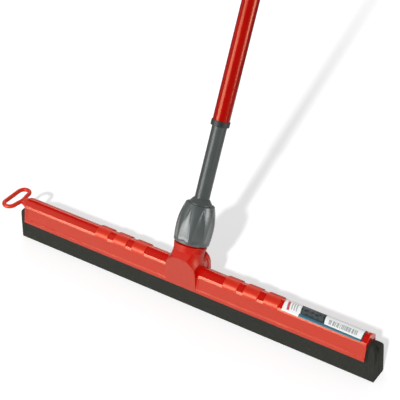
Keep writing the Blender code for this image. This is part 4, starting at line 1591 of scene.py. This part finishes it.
@dataclass
class Label:
    """The printed film on the front of the ridge, without any lettering."""

    length: float = 108.8 * MM
    inset: float = 7.4 * MM
    thickness: float = 0.4 * MM
    foot: float = 52.7 * MM
    back: float = 4.5 * MM
    gap: float = 0.12 * MM
    probe: float = 0.3 * MM     # how far to each side a normal looks along the section
    columns: int = 60
    rows: int = 24

    def line(self, rail: HeadFrame) -> list[tuple[Vector, Vector]]:
        """Lay the label's section over the crown, front to back.

        Args:
            rail: The moulding that carries the label.

        Returns:
            Evenly spaced points of (depth, height), each with its normal.
        """
        crown = [(-x, z, r) for x, z, r in rail.crown()]
        crown += [(x, z, r) for x, z, r in reversed(rail.crown()[:2])]
        chain = [Vector(p) for p in Outline(crown, closed=False).points(10)]
        lengths = [0.0]
        for a, b in zip(chain, chain[1:]):
            lengths.append(lengths[-1] + (b - a).length)

        def at(length: float) -> Vector:
            """Find a point on the chain.

            Args:
                length: Its distance along the chain.

            Returns:
                The point.
            """
            k = next((k for k in range(1, len(chain)) if length <= lengths[k]), len(chain) - 1)
            share = (length - lengths[k - 1]) / (lengths[k] - lengths[k - 1])
            return chain[k - 1].lerp(chain[k], share)

        steps = 400
        samples = [lengths[-1] * i / steps for i in range(steps + 1)]
        inside = [
            t for t in samples if at(t).x < 0 and at(t).y >= self.foot or 0 <= at(t).x <= self.back
        ]
        found = []
        for i in range(self.rows + 1):
            length = inside[0] + (inside[-1] - inside[0]) * i / self.rows
            along = (at(length + self.probe) - at(length - self.probe)).normalized()
            found.append((at(length), Vector((-along.y, along.x))))
        return found

    def build(self, dresser: Dresser, rail: HeadFrame) -> None:
        """Build the film along the crown with its own UV map and place it.

        Args:
            dresser: Places the piece.
            rail: The moulding that carries the label.
        """
        low = rail.length / 2 - self.inset - self.length
        line = self.line(rail)
        points: list[Point3] = []
        places: list[Point2] = []
        for gap in (self.gap, self.gap + self.thickness):
            for i, (place, normal) in enumerate(line):
                here = place + normal * gap
                for k in range(self.columns + 1):
                    u = k / self.columns
                    points.append((low + u * self.length, here.x, here.y))
                    places.append((u, i / self.rows))
        wide = self.columns + 1
        layer = wide * (self.rows + 1)
        faces = []
        for i in range(self.rows):
            for k in range(self.columns):
                a = i * wide + k
                faces.append((a, a + 1, a + wide + 1, a + wide))
                faces.append((layer + a, layer + a + wide, layer + a + wide + 1, layer + a + 1))
        rim = [*range(wide), *range(2 * wide - 1, layer, wide)]
        rim += [*range(layer - 2, self.rows * wide - 1, -1), *range((self.rows - 1) * wide, 0, -wide)]
        for a, b in zip(rim, rim[1:] + rim[:1]):
            faces.append((a, b, layer + b, layer + a))
        mesh = bpy.data.meshes.new("label_film")
        mesh.from_pydata(points, [], faces)
        chart = mesh.uv_layers.new(name="label")
        for loop in mesh.loops:
            chart.data[loop.index].uv = places[loop.vertex_index]
        Shape.clean(mesh)
        item = Shape.link("label_film", mesh)
        dresser.place(item, Body.HEAD, LABEL_FILM, Slot.LABEL_PAPER, ["info_label"], HEAD, 40)


@dataclass
class Clamp:
    """The fluted nut and the gland ring that clamp the handle, with the collet inside."""

    nut_foot: float = 36 * MM
    nut_top: float = 87 * MM
    foot_radius: float = 22.8 * MM
    radius: float = 24.2 * MM
    top_radius: float = 18.4 * MM
    bulge: float = 20 * MM
    foot_edge: float = 0.9 * MM
    top_edge: float = 1.2 * MM
    chamfer: float = 0.4 * MM
    lead_in: float = 0.5 * MM
    thread_bore: float = 17.7 * MM
    mouth: float = 15.5 * MM
    shoulder: float = 79.3 * MM
    flutes: int = 8
    flute_depth: float = 1.7 * MM
    flute_width: float = 7.8 * MM
    flute_foot: float = 39.5 * MM
    flute_tip: float = 84.5 * MM
    slack: float = 0.01 * MM
    columns: int = 48
    gland_foot: float = 72.3 * MM
    flange_top: float = 79.0 * MM
    cone_foot: float = 88.0 * MM
    cone_top: float = 94.0 * MM
    flange_radius: float = 17.2 * MM
    gland_radius: float = 15.2 * MM
    tip_radius: float = 10.6 * MM
    bore: float = 9.9 * MM

    def outer(self, height: float) -> float:
        """Return the nut's outer radius, before its flutes.

        Args:
            height: Height along the handle.

        Returns:
            The radius.
        """
        widest = self.nut_foot + self.bulge
        if height < widest:
            share = (widest - height) / self.bulge
            return self.radius - (self.radius - self.foot_radius) * share ** 2
        share = (height - widest) / (self.nut_top - widest)
        return self.radius - (self.radius - self.top_radius) * share ** 2

    def rounding(self, end: float, edge: float, steps: int = 6) -> list[Point2]:
        """Round the nut's outer edge at one end.

        Args:
            end: Height of that end.
            edge: Radius of the rounding, below zero at the upper end.
            steps: Number of segments.

        Returns:
            Points of (radius, height), from the side to the end.
        """
        angles = [math.pi / 2 * i / steps for i in range(steps + 1)]
        radius = self.outer(end + edge)
        return [
            (radius - abs(edge) * (1 - math.cos(a)), end + edge * (1 - math.sin(a))) for a in angles
        ]

    def blank(self) -> Object:
        """Make the turned nut before its flutes are pressed in.

        Returns:
            The nut, with rows of vertices at the flutes' ends.
        """
        profile: list[Point2] = [
            (self.mouth, self.nut_top - self.chamfer), (self.mouth + self.chamfer, self.nut_top),
        ]
        profile += self.rounding(self.nut_top, -self.top_edge)[::-1]
        # rows just outside the flutes keep their ends crisp
        tip, foot = self.flute_tip, self.flute_foot
        heights = [tip + 0.6 * MM, tip]
        rows = 44
        heights += [tip - (tip - foot) * i / rows for i in range(1, rows)]
        heights += [foot + 0.35 * MM, foot, foot - 0.5 * MM, foot - 1.2 * MM]
        profile += [(self.outer(z), z) for z in heights if z < self.nut_top - self.top_edge]
        profile += self.rounding(self.nut_foot, self.foot_edge)
        bore = self.thread_bore
        profile += [
            (bore + self.lead_in, self.nut_foot), (bore, self.nut_foot + self.lead_in),
            (bore, self.shoulder), (self.mouth, self.shoulder),
        ]
        return Shape.lathe("fluted_nut", profile, self.flutes * self.columns, ring=True)

    def flute(self, nut: Object) -> Object:
        """Press scooped, pointed flutes into the nut with a Geometry Nodes rule.

        The columns of vertices crowd on to each flute's edges, so that the edges stay crisp.

        Args:
            nut: The turned nut.

        Returns:
            The fluted nut.
        """
        recipe = Recipe("pressed_flutes", {
            "Flutes": self.flutes, "Depth": self.flute_depth, "Half Width": self.flute_width,
            "Foot": self.flute_foot, "Tip": self.flute_tip,
            "Inner Radius": (self.mouth + self.top_radius) / 2,
        })
        graph = recipe.graph
        given_foot, given_tip = recipe.given("Foot"), recipe.given("Tip")
        x, y, z = graph.split(graph.node("GeometryNodeInputPosition"))
        radius = (x * x + y * y) ** 0.5
        turn = graph.node("ShaderNodeMath", {"operation": "ARCTAN2"}, {0: y, 1: x})
        sector = 2 * math.pi / recipe.given("Flutes")
        number = (turn / sector).function("ROUND")
        within = (turn / sector - number) * 2.0
        share = ((z - given_foot) / (given_tip - given_foot)).clamped()
        taper = (share * (math.pi / 2)).function("COSINE").function("MAXIMUM", 0.0) ** 0.8
        half = (recipe.given("Half Width") / radius) * taper.function("MAXIMUM", 0.004)
        size = within.function("ABSOLUTE")
        inside = size * 2.0
        wide = half + (inside - 1.0) * (sector * 0.5 - half)
        picked = 1.0 - size.above(0.5)
        angle_size = picked * inside * half + (1.0 - picked) * wide
        angle = number * sector + within.function("SIGN") * angle_size
        in_band = z.above(given_foot - self.slack) * (given_tip + self.slack).above(z)
        outer = radius.above(recipe.given("Inner Radius"))
        scoop = (1.0 - inside * inside).function("MAXIMUM", 0.0) * picked * in_band
        shallow = (share * 12.0).clamped() ** 0.5
        depth = recipe.given("Depth") * scoop * shallow * (taper.function("MINIMUM", 1.0) ** 0.5)
        new_radius = radius - depth
        moved = graph.join(new_radius * angle.function("COSINE"), new_radius * angle.function("SINE"), z)
        inputs = {"Geometry": recipe.given("Geometry"), "Selection": outer, "Position": moved}
        recipe.finish(graph.node("GeometryNodeSetPosition", inputs=inputs))
        return recipe.apply(nut, NUT_PLASTIC)

    def gland(self) -> Object:
        """Make the gland ring with its cone and tip.

        Returns:
            The ring.
        """
        corners = [
            (self.bore, self.gland_foot, 0.2 * MM), (self.flange_radius, self.gland_foot, 0.5 * MM),
            (self.flange_radius, self.flange_top, 0.4 * MM), (self.gland_radius, self.flange_top, 0.2 * MM),
            (self.gland_radius, self.cone_foot, 1.2 * MM), (self.tip_radius, self.cone_top, 0.5 * MM),
            (self.bore, self.cone_top, 0.2 * MM),
        ]
        return Shape.lathe("gland_ring", Outline(corners).points(5), 128, ring=True)

    def build(self, dresser: Dresser) -> None:
        """Build and place the clamp's pieces.

        Args:
            dresser: Places the pieces.
        """
        nut = self.flute(self.blank())
        dresser.place(nut, Body.NUT, NUT_PLASTIC, Slot.GREY_PLASTIC, ["clamp_nut"], HANDLE, 24)
        gland = self.gland()
        dresser.place(gland, Body.GLAND, NUT_PLASTIC, Slot.GREY_PLASTIC, ["clamp_gland"], HANDLE, 24)
        dresser.keep("socket_collet", NATURAL_PLASTIC)


@dataclass
class Handle:
    """The telescopic handle: two tubes, bush, grip and end cap, with the twist lock inside."""

    inner_radius: float = 9.6 * MM
    inner_wall: float = 0.8 * MM
    inner_foot: float = 16 * MM
    inner_top: float = 716 * MM
    outer_radius: float = 11 * MM
    outer_wall: float = 0.7 * MM
    tube_edge: float = 0.3 * MM
    outer_foot: float = 190.5 * MM
    outer_top: float = 909.3 * MM
    bush_foot: float = 188.2 * MM
    bush_top: float = 195.4 * MM
    bush_floor: float = 2 * MM
    bush_radius: float = 12.1 * MM
    seat: float = 11.3 * MM
    slide_bore: float = 9.9 * MM
    grip_foot: float = 779.3 * MM
    grip_radius: float = 14.5 * MM
    grip_ribs: int = 12
    grip_rib: float = 0.9 * MM
    rib_root: float = 0.6 * MM
    grip_end: float = 12 * MM
    grip_step: float = 1.2 * MM
    grip_edge: float = 0.8 * MM
    cap_plug: float = 22 * MM
    cap_flange: float = 4 * MM
    cap_radius: float = 13.5 * MM
    eye_radius: float = 12 * MM
    eye_hole: float = 6.5 * MM
    eye_thickness: float = 7 * MM
    eye_neck: float = 5 * MM
    eye_edge: float = 1.5 * MM
    touch: float = 0.3 * MM

    def tube(self, name: str, radius: float, wall: float, foot: float, top: float) -> Object:
        """Make a tube with slightly rolled ends.

        Args:
            name: Name of the new object.
            radius: Outer radius.
            wall: Thickness of the wall.
            foot: Lower end, along the handle.
            top: Upper end.

        Returns:
            The tube.
        """
        edge, bore = self.tube_edge, radius - wall
        corners = [(radius, foot, edge), (radius, top, edge), (bore, top, edge), (bore, foot, edge)]
        return Shape.lathe(name, Outline(corners).points(3), 96, ring=True)

    def bush(self) -> Object:
        """Make the dark bush that guides the inner tube.

        Returns:
            The bush.
        """
        floor = self.bush_foot + self.bush_floor
        corners = [
            (self.slide_bore, self.bush_foot, 0.3 * MM), (self.bush_radius, self.bush_foot, 0.9 * MM),
            (self.bush_radius, self.bush_top, 0.5 * MM), (self.seat, self.bush_top, 0.15 * MM),
            (self.seat, floor, 0.0), (self.slide_bore, floor, 0.2 * MM),
        ]
        return Shape.lathe("slide_ring", Outline(corners).points(4), 96, ring=True)

    def grip(self) -> Object:
        """Make the grip: a plain sleeve with rounded ribs repeated along it.

        Returns:
            The grip.
        """
        bore, crest = self.seat, self.grip_radius
        root = crest - self.grip_rib
        low, high = self.grip_foot + self.grip_end, self.outer_top - self.grip_end
        step, edge = self.grip_step, self.grip_edge
        corners = [
            (bore, self.grip_foot, 0.2 * MM), (crest, self.grip_foot, 1 * MM), (crest, low, edge),
            (root, low + step, edge), (root, high - step, edge), (crest, high, edge),
            (crest, self.outer_top, 1 * MM), (bore, self.outer_top, 0.2 * MM),
        ]
        sleeve = Shape.lathe("grip_sleeve", Outline(corners).points(5), 96, ring=True)
        run = self.outer_top - self.grip_foot - 2 * self.grip_end
        pitch = run / self.grip_ribs
        half = pitch * 0.28
        inner = root - self.rib_root
        rib = [
            (inner, -half, 0.0), (root, -half, 0.1 * MM), (crest, -half * 0.6, 0.7 * MM),
            (crest, half * 0.6, 0.7 * MM), (root, half, 0.1 * MM), (inner, half, 0.0),
        ]
        ribs = Shape.lathe("grip_ribs", Outline(rib).points(4), 72, ring=True)
        recipe = Recipe("ribs_along_grip", {
            "First": low + pitch / 2, "Pitch": pitch, "Count": self.grip_ribs,
        })
        recipe.repeat([(0.0, 0.0, 1.0)])
        recipe.apply(ribs, SOFT_GRIP)
        Shape.coat(sleeve, SOFT_GRIP)
        return Shape.combine(sleeve, ribs, "UNION")

    def cap(self) -> Object:
        """Make the end cap with its flat hanging eye.

        Returns:
            The cap.
        """
        plug = self.outer_radius - self.outer_wall - self.touch
        foot = self.outer_top + self.touch
        top = foot + self.cap_flange
        corners = [
            (0.0, top, 0.0), (self.cap_radius, top, 1.6 * MM), (self.cap_radius, foot, 0.4 * MM),
            (plug, foot, 0.2 * MM), (plug, self.outer_top - self.cap_plug, 0.8 * MM),
            (0.0, self.outer_top - self.cap_plug, 0.0),
        ]
        cap = Shape.lathe("hanging_cap", Outline(corners, closed=False).points(5), 96)
        centre = top + self.eye_neck + self.eye_hole
        half = [(self.eye_radius, top - 1 * MM, 0.0)]
        half += ellipse_arc(self.eye_radius, self.eye_radius, centre, 24)
        eye = Shape.prism("eye", Outline(mirrored(half)).points(1), self.eye_thickness, Axis.ALONG_Y)
        angles = [2 * math.pi * i / 48 for i in range(48)]
        ring = [(self.eye_hole * math.cos(a), centre + self.eye_hole * math.sin(a)) for a in angles]
        hole = Shape.prism("eye_hole", ring, 2 * self.eye_thickness, Axis.ALONG_Y)
        Shape.combine(eye, hole, "DIFFERENCE")
        Shape.soften(eye, self.eye_edge, 4, 40)
        return Shape.combine(cap, eye, "UNION")

    def build(self, dresser: Dresser) -> None:
        """Build and place the handle's pieces.

        Args:
            dresser: Places the pieces.
        """
        inner = self.tube(
            "inner_handle_tube", self.inner_radius, self.inner_wall, self.inner_foot, self.inner_top
        )
        outer = self.tube(
            "outer_handle_tube", self.outer_radius, self.outer_wall, self.outer_foot, self.outer_top
        )
        for item, body, finish, slot, node in (
            (inner, Body.INNER_HANDLE, GREY_COAT, Slot.GREY_TUBE, "inner_tube"),
            (outer, Body.OUTER_HANDLE, RED_COAT, Slot.RED_TUBE, "outer_tube"),
            (self.bush(), Body.OUTER_HANDLE, DARK_MOULDED, Slot.DARK_PLASTIC, "slide_bush"),
            (self.grip(), Body.OUTER_HANDLE, SOFT_GRIP, Slot.DARK_PLASTIC, "hand_grip"),
            (self.cap(), Body.OUTER_HANDLE, RED_MOULDED, Slot.RED_PLASTIC, "end_cap"),
        ):
            dresser.place(item, body, finish, slot, [node], HANDLE)
        for node, finish in (
            ("foot_plug", DARK_MOULDED), ("lock_spindle", ZINC), ("lock_retainer", ZINC),
            ("lock_sleeve", NATURAL_PLASTIC), ("lock_cone", DARK_MOULDED),
        ):
            dresser.keep(node, finish)


@dataclass(frozen=True)
class Softbox:
    """One lamp panel that faces the object."""

    name: str
    heading: float      # degrees from the front, to the right
    height: float
    distance: float
    width: float
    tall: float
    radiance: float
    fills: bool = True  # whether it lights matt surfaces, or only shows in glossy ones

    def build(self, aim: Vector) -> None:
        """Hang the panel and turn its face to a point.

        Args:
            aim: The point.
        """
        turn = math.radians(self.heading)
        place = Vector((math.sin(turn) * self.distance, -math.cos(turn) * self.distance, self.height))
        lamp = bpy.data.lights.new(self.name, "AREA")
        lamp.shape = "RECTANGLE"
        lamp.size = self.width
        lamp.size_y = self.tall
        lamp.energy = self.radiance * math.pi * self.width * self.tall
        item = Shape.link(self.name, lamp)
        item.location = place
        item.rotation_euler = (place - aim).to_track_quat("Z", "Y").to_euler()
        item.visible_camera = False
        item.visible_diffuse = self.fills


@dataclass
class Studio:
    """Floor, light and camera."""

    focal: float = 108.77
    place: Point3 = (0.70984, -0.9719, 1.0072)
    turn: Point3 = (54.7706, 1.4450, 34.0259)
    sun_from: Point3 = (0.38, -1.25, 1.0)
    sun_strength: float = 2.2
    sky_strength: float = 0.33
    floor_half: float = 6.0
    floor_drop: float = 0.2 * MM
    panels: tuple[Softbox, ...] = (
        Softbox("left_panel", -26.5, 0.55, 1.445, 0.95, 0.94, 7.5, fills=False),
        Softbox("far_left_panel", -64.0, 1.05, 1.39, 0.6, 0.6, 0.6),
        Softbox("right_panel", 103.0, 0.3, 0.95, 0.36, 0.3, 10.0, fills=False),
        Softbox("back_panel", -145.0, 1.3, 1.9, 1.2, 0.6, 2.8),
    )

    def camera(self) -> None:
        """Stand the camera where the photograph was taken from."""
        lens = bpy.data.cameras.new("camera")
        lens.lens = self.focal
        lens.sensor_width = 36.0
        lens.clip_start = 0.05
        lens.clip_end = 50.0
        item = Shape.link("camera", lens)
        item.location = self.place
        item.rotation_euler = Euler([math.radians(a) for a in self.turn], "XYZ")
        bpy.context.scene.camera = item

    def lights(self) -> None:
        """Light the object with one sun and the panels."""
        sun = bpy.data.lights.new("key_light", "SUN")
        sun.energy = self.sun_strength
        sun.angle = math.radians(3.0)
        key = Shape.link("key_light", sun)
        key.visible_glossy = False
        key.rotation_euler = Vector(self.sun_from).to_track_quat("Z", "Y").to_euler()
        for panel in self.panels:
            panel.build(Vector((0.0, 0.05, 0.1)))

    def sky(self) -> None:
        """Make the room: white to the camera, and in reflections paler near the horizon than overhead."""
        world = bpy.data.worlds.new("studio_sky")
        graph = Graph.fresh(world)
        _, y, z = graph.split(graph.node("ShaderNodeTexCoord", output="Generated"))
        front = (y * -1.0).smooth(0.1, 0.7)
        room = (1.0 - z.smooth(0.05, 0.5)) * (1.0 - front) * 0.5 + 0.03
        camera, glossy, passing = graph.rays()
        mirrored_rays = glossy.function("MAXIMUM", passing)
        plain = 1.0 - camera.function("MAXIMUM", mirrored_rays)
        strength = camera + mirrored_rays * room + plain * self.sky_strength
        shader = graph.node("ShaderNodeBackground", inputs={"Color": (1, 1, 1, 1), "Strength": strength})
        graph.node("ShaderNodeOutputWorld", inputs={"Surface": shader})
        bpy.context.scene.world = world

    def floor(self) -> None:
        """Lay the pale floor under the soles."""
        half = self.floor_half
        corners = [(-half, -half, 0), (half, -half, 0), (half, half, 0), (-half, half, 0)]
        item = Shape.from_faces("studio_floor", corners, [(0, 1, 2, 3)])
        item.data.transform(Matrix.Translation((0, 0, -self.floor_drop)))
        item.data.materials.append(StudioFloor("studio_floor").material())

    def build(self) -> None:
        """Set up the whole studio and the plain view transform."""
        self.camera()
        self.lights()
        self.sky()
        self.floor()
        bpy.context.scene.view_settings.view_transform = "Standard"


def main() -> None:
    """Build every sub-assembly in order."""
    logging.basicConfig(level=logging.INFO, format="%(message)s")
    Studio().build()
    dresser = Dresser()
    head = HeadFrame()
    head.build(dresser)
    RubberStrips().build(dresser)
    Label().build(dresser, head)
    Clamp().build(dresser)
    Handle().build(dresser)
    LOG.info("pieces: %d", dresser.count)


if __name__ == "__main__":
    main()
